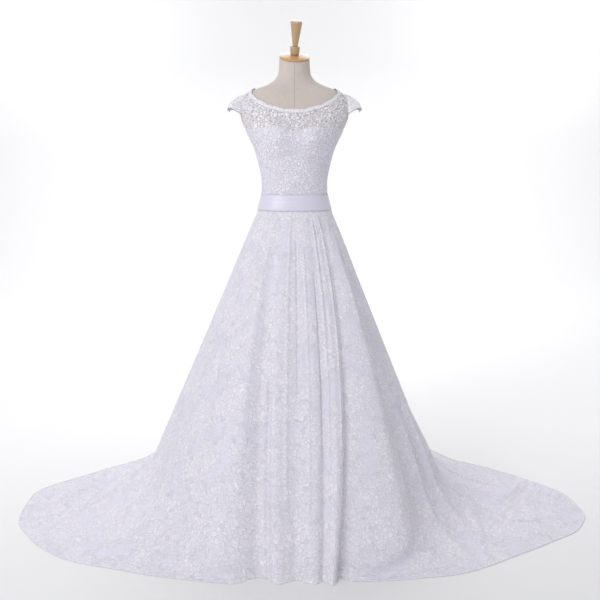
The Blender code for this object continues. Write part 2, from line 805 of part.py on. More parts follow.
class FallLine:
    """Samples one line down the skirt by its share of the whole length below the belt."""

    def __init__(self, angle):
        self.angle = angle
        self.start, self.bend, curve = fall_line(angle)
        below = [point for k, point in enumerate(curve[1:]) if k == 0 or point != curve[k]]
        steps = [math.hypot(b[0] - a[0], b[1] - a[1]) for a, b in zip(below, below[1:])]
        self.lengths = np.concatenate([[0], np.cumsum(steps)])
        self.radii = np.array([point[0] for point in below])
        self.heights = np.array([point[1] for point in below])
        waist = BODY.at(angle, WAIST_SEAM)
        self.top_azimuth = math.degrees(math.atan2(waist[0], -waist[1]))
        if self.top_azimuth < 0 and angle > 170:
            self.top_azimuth += 360
        if self.top_azimuth > 0 and angle < -170:
            self.top_azimuth -= 360
        self.hem_azimuth = hem_azimuth(angle)

    def read(self, share):
        place = share * self.lengths[-1]
        radius = float(np.interp(place, self.lengths, self.radii))
        height = float(np.interp(place, self.lengths, self.heights))
        return radius, height

    def slope(self, share):
        """How far the outer side has turned up: 0 on the straight fall and 1 on the floor."""
        r1, z1 = self.read(max(share - 0.01, 0.0))
        r2, z2 = self.read(min(share + 0.01, 1.0))
        run = math.hypot(r2 - r1, z2 - z1)
        straight = (self.radii[1] - self.radii[0]) / (self.lengths[1] - self.lengths[0])
        turn = ((r2 - r1) / run - straight) / (1 - straight)
        return min(max(turn, 0.0), 1.0)


def fold_depth(angle, share):
    """Sum of the folds at one waist angle, growing from nothing at the belt."""
    return share * sum(fold.depth * math.exp(-(((angle - fold.waist_angle) / fold.half_width) ** 2))
                       for fold in FOLDS)


def skirt_point(line, share, out):
    """A point of the lace skirt's underside, or of a layer under it where out is negative."""
    radius, height = line.read(share)
    azimuth = line.top_azimuth + (line.hem_azimuth - line.top_azimuth) * share ** PATH_POWER
    flat = line.slope(share)
    depth = fold_depth(line.angle, share)
    fade = min(1.0, RIDGE_FADE * (1 - share))
    tilt = WALL_TILT + flat * (math.pi / 2 - WALL_TILT)
    radius += depth * (1 - flat) + out * math.cos(tilt)
    height += out * math.sin(tilt)
    if out == 0:
        lift = LINING_LIFT if share < LINING_LIFT_END else 0.0
        height += flat * (max(depth, 0.0) * fade * RIDGE_ON_FLOOR + lift)
    turn = math.radians(azimuth)
    return np.array((radius * math.sin(turn), -radius * math.cos(turn), max(height, 0.0)))


def row_shares():
    return [1 - (1 - k / LACE_ROWS) ** ROW_POWER for k in range(LACE_ROWS + 1)]


def column_angles(start, end, flanks):
    """Waist angles of a gore's columns: on each fold, on its flanks, and between wide-set ones."""
    marks = [start, end]
    for fold in FOLDS:
        shifts = (0, -FLANK, FLANK) if flanks and abs(fold.waist_angle) < FLANKED_ANGLE else (0,)
        for shift in shifts:
            mark = fold.waist_angle + shift * fold.half_width
            if start < mark < end and min(abs(mark - other) for other in marks) > 0.9:
                marks.append(mark)
    marks.sort()
    filled = [marks[0]]
    widest = WIDEST_STEP if flanks else LINING_WIDENING * WIDEST_STEP
    for mark in marks[1:]:
        gaps = max(1, math.ceil((mark - filled[-1]) / widest))
        base = filled[-1]
        filled += [base + (mark - base) * (k + 1) / gaps for k in range(gaps)]
    return filled


def skirt_column(angle, shares, top_out, ease):
    line = FallLine(angle)
    turn = math.radians(line.top_azimuth)
    radius, height = line.start
    column = [np.array(((radius + top_out) * math.sin(turn), -(radius + top_out) * math.cos(turn), height))]
    for share in shares:
        out = top_out - ease * share
        column.append(skirt_point(line, share, out))
    return column


def gore(name, start, end, flanks, rows, top_out, ease, wall, material):
    angles = column_angles(start, end, flanks)
    columns = [skirt_column(angle, rows, top_out, ease) for angle in angles]
    for edge, beside in ((0, 1), (-1, -2)):
        moved = []
        for here, other in zip(columns[edge], columns[beside]):
            way = other - here
            moved.append(here + way / np.linalg.norm(way) * SEAM_GAP * 0.6)
        columns[edge] = moved
    return sheet(name, columns, wall, material, low=ease > 0)


def make_skirt():
    rows = row_shares()
    for piece in LACE_GORES:
        gore(piece.name, piece.start, piece.end, True, rows, 0.0, 0.0, SKIRT_LACE_WALL, "lace")
    lining_rows = [rows[k] for k in LINING_ROWS]
    for piece in LINING_GORES:
        gore(piece.name, piece.start, piece.end, False, lining_rows, SKIRT_LINING_IN - SKIRT_LACE_IN,
             LINING_EASE, SKIRT_LINING_WALL, "satin")


def make_torso():
    """The linen body: the shared surface, closed by a flat floor and the neck's cut top."""
    made = bmesh.new()
    rings = [[made.verts.new(BODY.points[column, row]) for column in range(len(BODY.firsts) - 1)]
             for row in range(len(BODY.seconds))]
    count = len(rings[0])
    for low, high in zip(rings, rings[1:]):
        for k in range(count):
            ahead = (k + 1) % count
            made.faces.new((low[k], low[ahead], high[ahead]))
            made.faces.new((low[k], high[ahead], high[k]))
    made.faces.new(rings[0][::-1])
    made.faces.new(rings[-1])
    mesh = bpy.data.meshes.new("form_torso")
    made.to_mesh(mesh)
    made.free()
    mesh.shade_smooth()
    add_object("form_torso", mesh, "linen")


def make_wood_fittings():
    lean = Euler((NECK_LEAN, NECK_ROLL, 0))
    axis = lean.to_matrix() @ Vector((0, 0, 1))
    seat = Vector((0, 0, NECK_TOP)) + axis * SEAM_GAP
    cap = [(0, CAP_RIM + CAP_DOME), (0.45 * CAP_RADIUS, CAP_RIM + 0.8 * CAP_DOME),
           (0.85 * CAP_RADIUS, CAP_RIM + 0.3 * CAP_DOME), (CAP_RADIUS, CAP_RIM),
           (CAP_RADIUS, 0.001), (0.97 * CAP_RADIUS, 0), (0, 0)]
    collar_seat = CAP_RIM + CAP_DOME + SEAM_GAP
    collar = [(0, COLLAR_HEIGHT), (0.85 * COLLAR_RADIUS, COLLAR_HEIGHT), (COLLAR_RADIUS, 0.92 * COLLAR_HEIGHT),
              (0.94 * COLLAR_RADIUS, 0), (0, 0)]
    finial_seat = collar_seat + COLLAR_HEIGHT + SEAM_GAP
    finial = [(0, FINIAL_HEIGHT), (0.86 * FINIAL_TOP_RADIUS, 0.985 * FINIAL_HEIGHT),
              (FINIAL_TOP_RADIUS, 0.94 * FINIAL_HEIGHT), (0.74 * FINIAL_TOP_RADIUS, 0.5 * FINIAL_HEIGHT),
              (FINIAL_FOOT_RADIUS, 0.06 * FINIAL_HEIGHT), (FINIAL_FOOT_RADIUS, 0), (0, 0)]
    for name, profile, rise, steps in (
        ("neck_cap", cap, 0, 26), ("collar", collar, collar_seat, 16), ("finial", finial, finial_seat, 16),
    ):
        item = turned(name, profile, "wood", steps)
        item.location = seat + axis * rise
        item.rotation_euler = lean


def make_stand():
    turned("base", [(0, BASE_HEIGHT), (BASE_SOCKET_RADIUS * 0.9, BASE_HEIGHT), (BASE_SOCKET_RADIUS, 0.055),
                    (BASE_SOCKET_RADIUS, 0.024), (0.06, 0.018), (0.97 * BASE_RADIUS, BASE_RIM),
                    (BASE_RADIUS, 0.007), (BASE_RADIUS, 0), (0, 0)], "painted_steel", 26)
    low = BASE_HEIGHT + SEAM_GAP
    high = FORM_FLOOR - SEAM_GAP
    bpy.ops.mesh.primitive_cylinder_add(vertices=20, radius=POLE_RADIUS, depth=high - low,
                                        location=(0, 0, (low + high) / 2))
    pole = bpy.context.object
    pole.name = "pole"
    pole.data.materials.append(MATERIALS["painted_steel"])
    for holder in list(pole.users_collection):
        holder.objects.unlink(pole)
    PARTS.objects.link(pole)


PARTS = clear_scene()
MATERIALS = make_materials()
BODY = make_body()
make_torso()
make_wood_fittings()
make_stand()
make_bodice_lining()
make_bodice_lace()
make_neck_trims()
make_cap_sleeves()
make_belt()
make_placket()
make_buttons()
make_skirt()
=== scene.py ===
"""Looks of the lace wedding dress on its dress form: fine cloth shells, lace, satin, linen, wood and light."""

import math
from collections import namedtuple

import bpy
import numpy as np
from mathutils import Euler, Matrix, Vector
from mathutils.geometry import delaunay_2d_cdt


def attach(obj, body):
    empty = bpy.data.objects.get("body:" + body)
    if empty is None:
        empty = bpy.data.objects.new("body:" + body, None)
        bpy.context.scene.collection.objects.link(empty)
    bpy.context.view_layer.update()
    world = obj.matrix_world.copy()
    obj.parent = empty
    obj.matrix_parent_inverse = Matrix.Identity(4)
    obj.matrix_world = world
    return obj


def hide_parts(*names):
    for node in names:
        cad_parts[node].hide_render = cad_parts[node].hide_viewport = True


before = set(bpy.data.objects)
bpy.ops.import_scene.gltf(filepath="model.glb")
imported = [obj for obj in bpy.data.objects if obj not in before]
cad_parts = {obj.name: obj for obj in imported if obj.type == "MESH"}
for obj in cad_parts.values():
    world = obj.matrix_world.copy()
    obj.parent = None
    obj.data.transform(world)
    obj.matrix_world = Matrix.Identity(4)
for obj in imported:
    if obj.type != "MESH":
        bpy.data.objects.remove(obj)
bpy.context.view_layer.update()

# Heights above the floor
FORM_FLOOR = 0.930
BELT_BOTTOM = 1.0915
WAIST_SEAM = 1.105
BELT_TOP = 1.1505
FRONT_NECK = 1.4545
BACK_NECK = 1.500
SHOULDER_NECK = 1.539
NECK_ROUNDNESS = 1.7
NECK_TOP = 1.655

# How far each layer of cloth lies from the body surface
LINING_OUT = 0.0012
LACE_OUT = 0.0031
TRIM_OUT = 0.0045
PLACKET_OUT = 0.0047
SKIRT_OUT = 0.0040
LACE_MIDDLE = 0.0008
LINING_MIDDLE = -0.0013
BELT_TOP_IN = 0.0044
BELT_IN = 0.0068
BELT_WALL = 0.0018
SEAM_GAP = 0.0003

Section = namedtuple("Section", "height half_width front back squareness")
SECTIONS = [
    Section(FORM_FLOOR, 0.148, 0.102, 0.104, 2.2),
    Section(0.985, 0.152, 0.106, 0.109, 2.2),
    Section(1.040, 0.144, 0.102, 0.099, 2.2),
    Section(BELT_BOTTOM, 0.1340, 0.0975, 0.0890, 2.1),
    Section(WAIST_SEAM, 0.1300, 0.0955, 0.0865, 2.1),
    Section(BELT_TOP, 0.1215, 0.0910, 0.0830, 2.1),
    Section(1.190, 0.1205, 0.0935, 0.0855, 2.1),
    Section(1.260, 0.1315, 0.1005, 0.0945, 2.2),
    Section(1.320, 0.1485, 0.1075, 0.1030, 2.3),
    Section(1.360, 0.1665, 0.1115, 0.1080, 2.3),
    Section(1.400, 0.1870, 0.1105, 0.1110, 2.3),
    Section(1.440, 0.2010, 0.1050, 0.1110, 2.3),
    Section(1.475, 0.2030, 0.0930, 0.1060, 2.3),
    Section(1.501, 0.1955, 0.0815, 0.0975, 2.2),
    Section(1.527, 0.1730, 0.0690, 0.0840, 2.1),
    Section(1.541, 0.1440, 0.0635, 0.0755, 2.0),
    Section(1.554, 0.1080, 0.0600, 0.0680, 2.0),
    Section(1.572, 0.0770, 0.0565, 0.0610, 2.0),
    Section(1.600, 0.0600, 0.0540, 0.0560, 2.0),
    Section(NECK_TOP, 0.0555, 0.0530, 0.0540, 2.0),
]

CUP_SIDE = 0.078
CUP_HEIGHT = 1.352
CUP_RISE = 0.020
CUP_SPREAD_ACROSS = 0.055
CUP_SPREAD_UP = 0.050
NECK_LEAN = math.radians(24)
NECK_ROLL = math.radians(3.4)
NECK_BEND_START = 1.560

ARMHOLE_ANGLE = 90
ARMHOLE_HALF_ANGLE = 22
ARMHOLE_HEIGHT = 1.450
ARMHOLE_HALF_HEIGHT = 0.072

CUP_EDGE = 1.396
SIDE_EDGE = 1.372
NOTCH_DEPTH = 0.015
NOTCH_HALF_ANGLE = 9
BACK_LINING_EDGE = 1.366

TRIM_WIDTH = 0.013
SCALLOP_RISE = 0.004
FRONT_SCALLOPS = 11
BACK_SCALLOPS = 4

SLEEVE_LENGTH = 0.078
SLEEVE_END_LENGTH = 0.013
SLEEVE_TAPER = 1.2
SLEEVE_FLARE = 0.35
SLEEVE_DROP = math.radians(47)
SLEEVE_SCALLOPS = 7
SLEEVE_SCALLOP_RISE = 0.004
SLEEVE_BULGE = 0.017
SLEEVE_GAP = 0.0009

HemReach = namedtuple("HemReach", "azimuth reach")
HEM = [
    HemReach(-180, 0.780), HemReach(-155, 0.730), HemReach(-135, 0.690), HemReach(-115, 0.700),
    HemReach(-99, 0.838), HemReach(-87, 1.000), HemReach(-78, 1.006), HemReach(-69, 0.958),
    HemReach(-59, 0.880), HemReach(-46, 0.752), HemReach(-26, 0.643), HemReach(0, 0.580),
    HemReach(13, 0.596), HemReach(34, 0.679), HemReach(43, 0.743), HemReach(57, 0.834),
    HemReach(67, 0.936), HemReach(74, 1.028), HemReach(80, 1.062), HemReach(86, 1.045),
    HemReach(96, 0.915), HemReach(104, 0.805), HemReach(112, 0.720), HemReach(135, 0.690),
    HemReach(155, 0.730), HemReach(180, 0.780),
]
Foot = namedtuple("Foot", "azimuth reach")
FEET = [
    Foot(-180, 0.560), Foot(-90, 0.590), Foot(-45, 0.605), Foot(-25, 0.620), Foot(0, 0.580),
    Foot(20, 0.600), Foot(45, 0.600), Foot(90, 0.560), Foot(180, 0.560),
]
LONGEST_SWEEP = 0.22
SWEEP_SHARE = 0.92
LIFT_OF_SWEEP = 1.1
LIFT_OF_FALL = 0.5
BEND_OUT = 0.0004
BEND_DROP = 0.002
Path = namedtuple("Path", "waist_angle hem_azimuth")
PATHS = [
    Path(-180, -180), Path(-120, -119), Path(-90, -90), Path(-60, -57), Path(-34, -26), Path(-22, -11.5),
    Path(1, 0.5), Path(20, 8.5), Path(31, 11), Path(43, 13.5), Path(50, 38), Path(61, 52), Path(75, 70),
    Path(89, 86), Path(120, 118), Path(180, 180),
]
PATH_POWER = 0.7
Fold = namedtuple("Fold", "waist_angle half_width depth")
FOLDS = [
    Fold(-172, 5, -0.014), Fold(-162, 6, 0.020), Fold(-149, 6, -0.022), Fold(-136, 6, 0.022),
    Fold(-122, 6, -0.020), Fold(-109, 6, 0.018), Fold(-96, 6, -0.016), Fold(-83, 6, 0.014),
    Fold(-70, 6, -0.014), Fold(-57, 6, 0.014), Fold(-45, 5, -0.014), Fold(-34, 6, 0.014),
    Fold(-22, 4.5, -0.030), Fold(-11, 5, 0.012), Fold(1, 4, -0.008), Fold(12, 5, 0.010),
    Fold(20, 3, -0.010), Fold(31, 6, 0.016), Fold(43, 3, -0.040), Fold(50, 4, 0.034),
    Fold(61, 5, -0.018), Fold(70, 5, 0.020), Fold(80, 5, -0.016), Fold(89, 5, 0.018),
    Fold(100, 5, -0.018), Fold(111, 6, 0.020), Fold(123, 6, -0.020), Fold(136, 6, 0.022),
    Fold(149, 6, -0.022), Fold(162, 6, 0.020), Fold(172, 5, -0.014),
]
RIDGE_ON_FLOOR = 0.8
RIDGE_FADE = 4.0
LINING_LIFT = 0.0038
LINING_LIFT_END = 0.93
LINING_EASE = 0.028
LINING_END = 0.965
WALL_TILT = math.radians(23)
Gore = namedtuple("Gore", "name start end")
LACE_GORES = [
    Gore("skirt_lace_front", -34, 31), Gore("skirt_lace_side_right", 31, 89),
    Gore("skirt_lace_back_right", 89, 180), Gore("skirt_lace_back_left", -180, -83),
    Gore("skirt_lace_side_left", -83, -34),
]
LINING_GORES = [
    Gore("skirt_lining_front", -83, 89), Gore("skirt_lining_back_right", 89, 180),
    Gore("skirt_lining_back_left", -180, -83),
]

# Creases too fine for the solids: soft troughs and ridges of the lace, each over its own stretch of the fall
Crease = namedtuple("Crease", "angle half_width start end depth")
CREASES = [
    Crease(-166, 1.6, 0.05, 0.60, -0.0030), Crease(-155, 1.8, 0.10, 0.80, 0.0030),
    Crease(-142, 1.5, 0.02, 0.45, -0.0026), Crease(-129, 2.0, 0.15, 0.90, 0.0034),
    Crease(-115, 1.6, 0.04, 0.50, -0.0028), Crease(-102, 1.8, 0.12, 0.75, 0.0030),
    Crease(-89, 1.5, 0.02, 0.40, -0.0024), Crease(-76, 1.9, 0.20, 0.85, 0.0032),
    Crease(-64, 1.4, 0.03, 0.48, -0.0026), Crease(-51, 1.8, 0.10, 0.70, 0.0028),
    Crease(-40, 1.3, 0.02, 0.55, -0.0026), Crease(-28, 1.5, 0.06, 0.82, 0.0030),
    Crease(-16.5, 1.9, 0.50, 1.20, -0.0145), Crease(-5, 1.3, 0.04, 0.90, 0.0030),
    Crease(2, 0.9, 0.10, 0.62, -0.0040), Crease(9, 0.9, 0.12, 0.95, 0.0026),
    Crease(18.5, 0.8, 0.20, 0.78, -0.0045), Crease(24, 1.1, 0.02, 0.92, 0.0030),
    Crease(27, 0.9, 0.02, 0.50, -0.0030), Crease(36, 1.2, 0.03, 0.74, 0.0032),
    Crease(39, 0.9, 0.02, 0.40, -0.0030), Crease(54, 3.6, 0.06, 1.15, -0.0170),
    Crease(66, 1.5, 0.04, 0.62, 0.0028), Crease(75, 1.5, 0.10, 0.80, -0.0030),
    Crease(84, 1.6, 0.03, 0.55, 0.0028), Crease(95, 1.5, 0.12, 0.78, -0.0028),
    Crease(106, 1.8, 0.02, 0.50, 0.0030), Crease(118, 1.6, 0.10, 0.85, -0.0030),
    Crease(130, 1.8, 0.05, 0.60, 0.0030), Crease(143, 1.6, 0.14, 0.80, -0.0030),
    Crease(155, 1.8, 0.03, 0.52, 0.0030), Crease(166, 1.6, 0.08, 0.72, -0.0030),
]

# Where one stretch of the skirt turns sharply into the next
PanelEdge = namedtuple("PanelEdge", "angle before after start depth")
PANEL_EDGES = [
    PanelEdge(-150, 6, 5, 0.10, 0.010), PanelEdge(-96, 5, 6, 0.30, 0.008), PanelEdge(-27, 5, 4, 0.25, 0.007),
    PanelEdge(48.3, 5.5, 0.8, 0.00, 0.025), PanelEdge(60, 2.6, 0.8, 0.40, 0.028), PanelEdge(66.5, 2.6, 0.8, 0.42, 0.030),
    PanelEdge(73, 2.8, 0.8, 0.42, 0.030), PanelEdge(81, 3, 1.0, 0.45, 0.026),
    PanelEdge(112, 5, 6, 0.20, 0.010), PanelEdge(152, 6, 5, 0.12, 0.009),
]

# Ripples of the train on the floor: each crosses the fall at its own slant
Ripple = namedtuple("Ripple", "angle share slant half_length half_width height")
RIPPLES = [
    Ripple(-150, 0.86, 3.0, 9.0, 0.012, 0.006), Ripple(-128, 0.90, -4.0, 8.0, 0.010, 0.005),
    Ripple(-112, 0.84, 5.0, 7.0, 0.012, 0.007), Ripple(-98, 0.80, -6.0, 8.0, 0.014, 0.009),
    Ripple(-90, 0.88, 4.0, 7.0, 0.011, 0.008), Ripple(-82, 0.82, 7.0, 7.0, 0.012, 0.009),
    Ripple(-74, 0.90, -5.0, 6.0, 0.010, 0.007), Ripple(-66, 0.84, 6.0, 6.0, 0.012, 0.008),
    Ripple(-58, 0.91, -4.0, 6.0, 0.010, 0.006), Ripple(-48, 0.88, 5.0, 5.0, 0.010, 0.005),
    Ripple(54, 0.90, -5.0, 4.0, 0.010, 0.005), Ripple(60, 0.85, 6.0, 5.0, 0.012, 0.008),
    Ripple(66, 0.91, 4.0, 5.0, 0.010, 0.007), Ripple(71, 0.84, -6.0, 5.0, 0.012, 0.009),
    Ripple(77, 0.89, 5.0, 5.0, 0.011, 0.008), Ripple(83, 0.82, -5.0, 6.0, 0.012, 0.009),
    Ripple(90, 0.88, 6.0, 6.0, 0.011, 0.008), Ripple(98, 0.84, -4.0, 7.0, 0.012, 0.007),
    Ripple(112, 0.90, 5.0, 8.0, 0.010, 0.006), Ripple(130, 0.86, -3.0, 9.0, 0.012, 0.006),
    Ripple(152, 0.90, 4.0, 9.0, 0.011, 0.005), Ripple(170, 0.85, -3.0, 8.0, 0.012, 0.006),
]

BUTTONS = 9
BUTTON_TOP = 1.470
BUTTON_PITCH = 0.036
BUTTON_RADIUS = 0.005
BUTTON_HEIGHT = 0.0036
BUTTON_SEAT = 0.0058
PLACKET_HALF_ANGLE = 6

CAP_RADIUS = 0.0565
CAP_RIM = 0.007
CAP_DOME = 0.008
COLLAR_RADIUS = 0.018
COLLAR_HEIGHT = 0.030
FINIAL_TOP_RADIUS = 0.022
FINIAL_FOOT_RADIUS = 0.0105
FINIAL_HEIGHT = 0.092


# Tables and smooth curves


def steps_between(low, high, count):
    return np.linspace(low, high, count + 1)


def smooth_curve(xs, ys):
    """A monotone cubic through points, which never swings past them."""
    xs, ys = np.array(xs, float), np.array(ys, float)
    gaps = np.diff(xs)
    slopes = np.diff(ys) / gaps
    tangents = np.empty(len(xs))
    tangents[0], tangents[-1] = slopes[0], slopes[-1]
    for k in range(1, len(xs) - 1):
        a, b = slopes[k - 1], slopes[k]
        if a * b <= 0:
            tangents[k] = 0
        else:
            wa, wb = 2 * gaps[k] + gaps[k - 1], gaps[k] + 2 * gaps[k - 1]
            tangents[k] = (wa + wb) / (wa / a + wb / b)

    def read(x):
        x = np.clip(x, xs[0], xs[-1])
        k = np.clip(np.searchsorted(xs, x, "right") - 1, 0, len(gaps) - 1)
        t = (x - xs[k]) / gaps[k]
        value = (1 + 2 * t) * (1 - t) ** 2 * ys[k] + t * (1 - t) ** 2 * gaps[k] * tangents[k]
        return value + t * t * (3 - 2 * t) * ys[k + 1] + t * t * (t - 1) * gaps[k] * tangents[k + 1]

    return read


def column_curve(rows, key, value):
    return smooth_curve([getattr(row, key) for row in rows], [getattr(row, value) for row in rows])


HALF_WIDTH = column_curve(SECTIONS, "height", "half_width")
FRONT = column_curve(SECTIONS, "height", "front")
BACK = column_curve(SECTIONS, "height", "back")
SQUARENESS = column_curve(SECTIONS, "height", "squareness")
HEM_REACH = column_curve(HEM, "azimuth", "reach")
FOOT_REACH = column_curve(FEET, "azimuth", "reach")
HEM_AZIMUTH = column_curve(PATHS, "waist_angle", "hem_azimuth")


def bump(value):
    return np.exp(-value * value)


def ease_between(low, high, value):
    t = np.clip((value - low) / (high - low), 0, 1)
    return t * t * (3 - 2 * t)


# The body surface


def body(angle, height, out=0.0):
    """Points on the body, or moved out from it. The angle is 0 in front and grows towards +X."""
    angle, height = np.broadcast_arrays(np.array(angle, float), np.array(height, float))
    point = body_skin(angle, height)
    if np.ndim(out) == 0 and out == 0:
        return point
    across = body_skin(angle + 0.5, height) - body_skin(angle - 0.5, height)
    up = body_skin(angle, height + 0.001) - body_skin(angle, height - 0.001)
    normal = np.cross(across, up)
    normal /= np.linalg.norm(normal, axis=-1, keepdims=True)
    return point + np.expand_dims(np.broadcast_to(out, angle.shape), -1) * normal


def body_skin(angle, height):
    turn = np.radians(angle)
    power = 2 / SQUARENESS(height)
    side, facing = np.sin(turn), np.cos(turn)
    x = HALF_WIDTH(height) * np.sign(side) * np.abs(side) ** power
    reach = np.where(facing > 0, FRONT(height), BACK(height))
    y = -reach * np.sign(facing) * np.abs(facing) ** power
    up = ((height - CUP_HEIGHT) / CUP_SPREAD_UP) ** 2
    left, right = ((x + CUP_SIDE) / CUP_SPREAD_ACROSS) ** 2, ((x - CUP_SIDE) / CUP_SPREAD_ACROSS) ** 2
    y = y - CUP_RISE * np.exp(-up) * np.maximum(np.exp(-left), np.exp(-right)) * np.maximum(facing, 0)
    share = np.clip((height - NECK_BEND_START) / (NECK_TOP - NECK_BEND_START), 0, 1)
    z = height + share * (math.tan(NECK_LEAN) * y - math.tan(NECK_ROLL) * x)
    return np.stack([x, y, z], axis=-1)


def stretch_up(angle, height):
    """Metres along the surface for each metre of height."""
    return float(np.linalg.norm(body(angle, height + 0.002) - body(angle, height - 0.002)) / 0.004)


def laid_out(angle, height, middle, base):
    """Where a point of the bodice lies on the flat cloth, in metres from the middle line and the base."""
    shares = np.linspace(0, 1, 33)
    around = body_skin(middle + np.outer(angle - middle, shares), np.repeat(height[:, None], 33, axis=1))
    across = np.linalg.norm(np.diff(around, axis=1), axis=2).sum(axis=1) * np.sign(angle - middle)
    rising = body_skin(np.repeat(angle[:, None], 33, axis=1), base + np.outer(height - base, shares))
    up = np.linalg.norm(np.diff(rising, axis=1), axis=2).sum(axis=1) * np.sign(height - base)
    return np.stack([across, up], axis=1)


# Meshes


def add_piece(name, points, faces, flat, material, replaced=()):
    """A smooth mesh with the place of each point on its flat cloth as its UV."""
    mesh = bpy.data.meshes.new(name)
    mesh.from_pydata([tuple(point) for point in points], [], faces)
    layer = mesh.uv_layers.new(name="flat")
    order = np.empty(len(mesh.loops), int)
    mesh.loops.foreach_get("vertex_index", order)
    layer.data.foreach_set("uv", np.array(flat, np.float32)[order].ravel())
    mesh.shade_smooth()
    mesh.materials.append(material)
    item = bpy.data.objects.new(name, mesh)
    bpy.context.scene.collection.objects.link(item)
    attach(item, "root")
    if replaced:
        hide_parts(*replaced)
    return item


def grid_faces(columns, rows, closed_columns=False, closed_rows=False):
    faces = []
    for column in range(columns if closed_columns else columns - 1):
        beside = (column + 1) % columns
        for row in range(rows if closed_rows else rows - 1):
            above = (row + 1) % rows
            faces.append((column * rows + row, beside * rows + row, beside * rows + above, column * rows + above))
    return faces


def loft(name, grid, flat, material, slot, replaced=(), **closed):
    columns, rows = grid.shape[:2]
    faces = grid_faces(columns, rows, **closed)
    return add_piece(name, grid.reshape(-1, 3), faces, flat.reshape(-1, 2), material, replaced)


def lengths_along(grid, axis):
    """Running length along one axis of a grid of points, from 0."""
    steps = np.linalg.norm(np.diff(grid, axis=axis), axis=2)
    start = np.zeros([1 if k == axis else grid.shape[k] for k in (0, 1)])
    return np.concatenate([start, np.cumsum(steps, axis=axis)], axis=axis)


def unrolled(grid):
    """Flat place of each point of a gore: across from its middle column, and down from its top."""
    across = lengths_along(grid, 0)
    across -= across[grid.shape[0] // 2]
    return np.stack([across, -lengths_along(grid, 1)], axis=-1)


def is_inside(outline, points):
    a = np.array(outline)
    b = np.roll(a, -1, axis=0)
    px, py = points[:, 0][:, None], points[:, 1][:, None]
    spans = (a[:, 1] > py) != (b[:, 1] > py)
    rise = np.where(np.abs(b[:, 1] - a[:, 1]) < 1e-12, 1e-12, b[:, 1] - a[:, 1])
    crossing = a[:, 0] + (py - a[:, 1]) * (b[:, 0] - a[:, 0]) / rise
    return (spans & (px < crossing)).sum(axis=1) % 2 == 1


def densified(outline, pitch, width):
    """An outline with points added, so that none are further apart than the pitch."""
    made = []
    for (a1, h1), (a2, h2) in zip(outline, outline[1:] + outline[:1]):
        count = max(1, math.ceil(math.hypot((a2 - a1) * width, h2 - h1) / pitch))
        made += [(a1 + (a2 - a1) * k / count, h1 + (h2 - h1) * k / count) for k in range(count)]
    return made


DEGREE = math.pi / 180 * 0.15


def cut_panel(outline, pitch=0.005):
    """Even triangles that fill an outline given in body angles and heights."""
    edge = np.array(densified(outline, pitch, DEGREE)) * (DEGREE, 1)
    low, high = edge.min(axis=0), edge.max(axis=0)
    xs, ys = np.meshgrid(np.arange(low[0], high[0], pitch), np.arange(low[1], high[1], pitch), indexing="ij")
    ys = ys + (np.arange(xs.shape[0])[:, None] % 2) * pitch / 2
    inner = np.stack([xs.ravel(), ys.ravel()], axis=1)
    inner = inner[is_inside(edge, inner)]
    far = np.array([np.min(np.sum((edge - point) ** 2, axis=1)) > (0.55 * pitch) ** 2 for point in inner])
    points = np.concatenate([edge, inner[far]])
    loop = [(k, (k + 1) % len(edge)) for k in range(len(edge))]
    verts, _, faces, _, _, _ = delaunay_2d_cdt([Vector(point) for point in points], loop, [], 0, 1e-6, False)
    spots = np.array([(vert.x, vert.y) for vert in verts])
    centres = np.array([spots[list(face)].mean(axis=0) for face in faces])
    kept = [tuple(face) for face, good in zip(faces, is_inside(edge, centres)) if good]
    used = sorted({k for face in kept for k in face})
    renamed = {old: new for new, old in enumerate(used)}
    kept = [tuple(renamed[k] for k in face) for face in kept]
    return spots[used] / (DEGREE, 1), kept


def body_panel(name, outline, out, middle, material, replaced=(), pitch=0.005):
    spots, faces = cut_panel(outline, pitch)
    points = body(spots[:, 0], spots[:, 1], out)
    flat = laid_out(spots[:, 0], spots[:, 1], middle, WAIST_SEAM)
    return add_piece(name, points, faces, flat, material, replaced)


def tube(name, path, radius, material, slot, closed=False, sides=8, squash=1.0):
    """A round cord along a path of points."""
    path = np.array(path, float)
    ahead, behind = np.roll(path, -1, axis=0), np.roll(path, 1, axis=0)
    if not closed:
        ahead[-1], behind[0] = path[-1], path[0]
    along = ahead - behind
    along /= np.linalg.norm(along, axis=1, keepdims=True)
    side = np.cross(along, (0, 0, 1.0))
    side /= np.maximum(np.linalg.norm(side, axis=1, keepdims=True), 1e-9)
    up = np.cross(side, along)
    turns = 2 * math.pi * np.arange(sides) / sides
    ring = side[:, None] * np.cos(turns)[None, :, None] + squash * up[:, None] * np.sin(turns)[None, :, None]
    grid = path[:, None] + radius * ring
    run = np.concatenate([[0], np.cumsum(np.linalg.norm(np.diff(path, axis=0), axis=1))])
    flat = np.stack([np.repeat(run[:, None], sides, 1), np.tile(turns * radius, (len(path), 1))], axis=-1)
    return loft(name, grid, flat, material, slot, closed_columns=closed, closed_rows=True)


def declare(item):
    """Print a piece's name, the size of its flat cut and its cloth area."""
    mesh = item.data
    uv = np.empty(len(mesh.loops) * 2, np.float32)
    mesh.uv_layers["flat"].data.foreach_get("uv", uv)
    spread = np.ptp(uv.reshape(-1, 2), axis=0)
    area = sum(face.area for face in mesh.polygons)
    whole = float(spread[0] * spread[1])
    area = min(max(area, 0.3 * whole), whole)
    print("cut", item.name, [round(float(x), 3) for x in spread], round(area, 4))


# Materials: small helpers that build node trees from sums


class Value:
    """A number or vector in a node tree, with sums written as they are in code."""

    def __init__(self, tree, socket):
        self.tree = tree
        self.socket = socket

    def __add__(self, other):
        return self.tree.maths("ADD", self, other)

    def __sub__(self, other):
        return self.tree.maths("SUBTRACT", self, other)

    def __mul__(self, other):
        return self.tree.maths("MULTIPLY", self, other)

    def __truediv__(self, other):
        return self.tree.maths("DIVIDE", self, other)


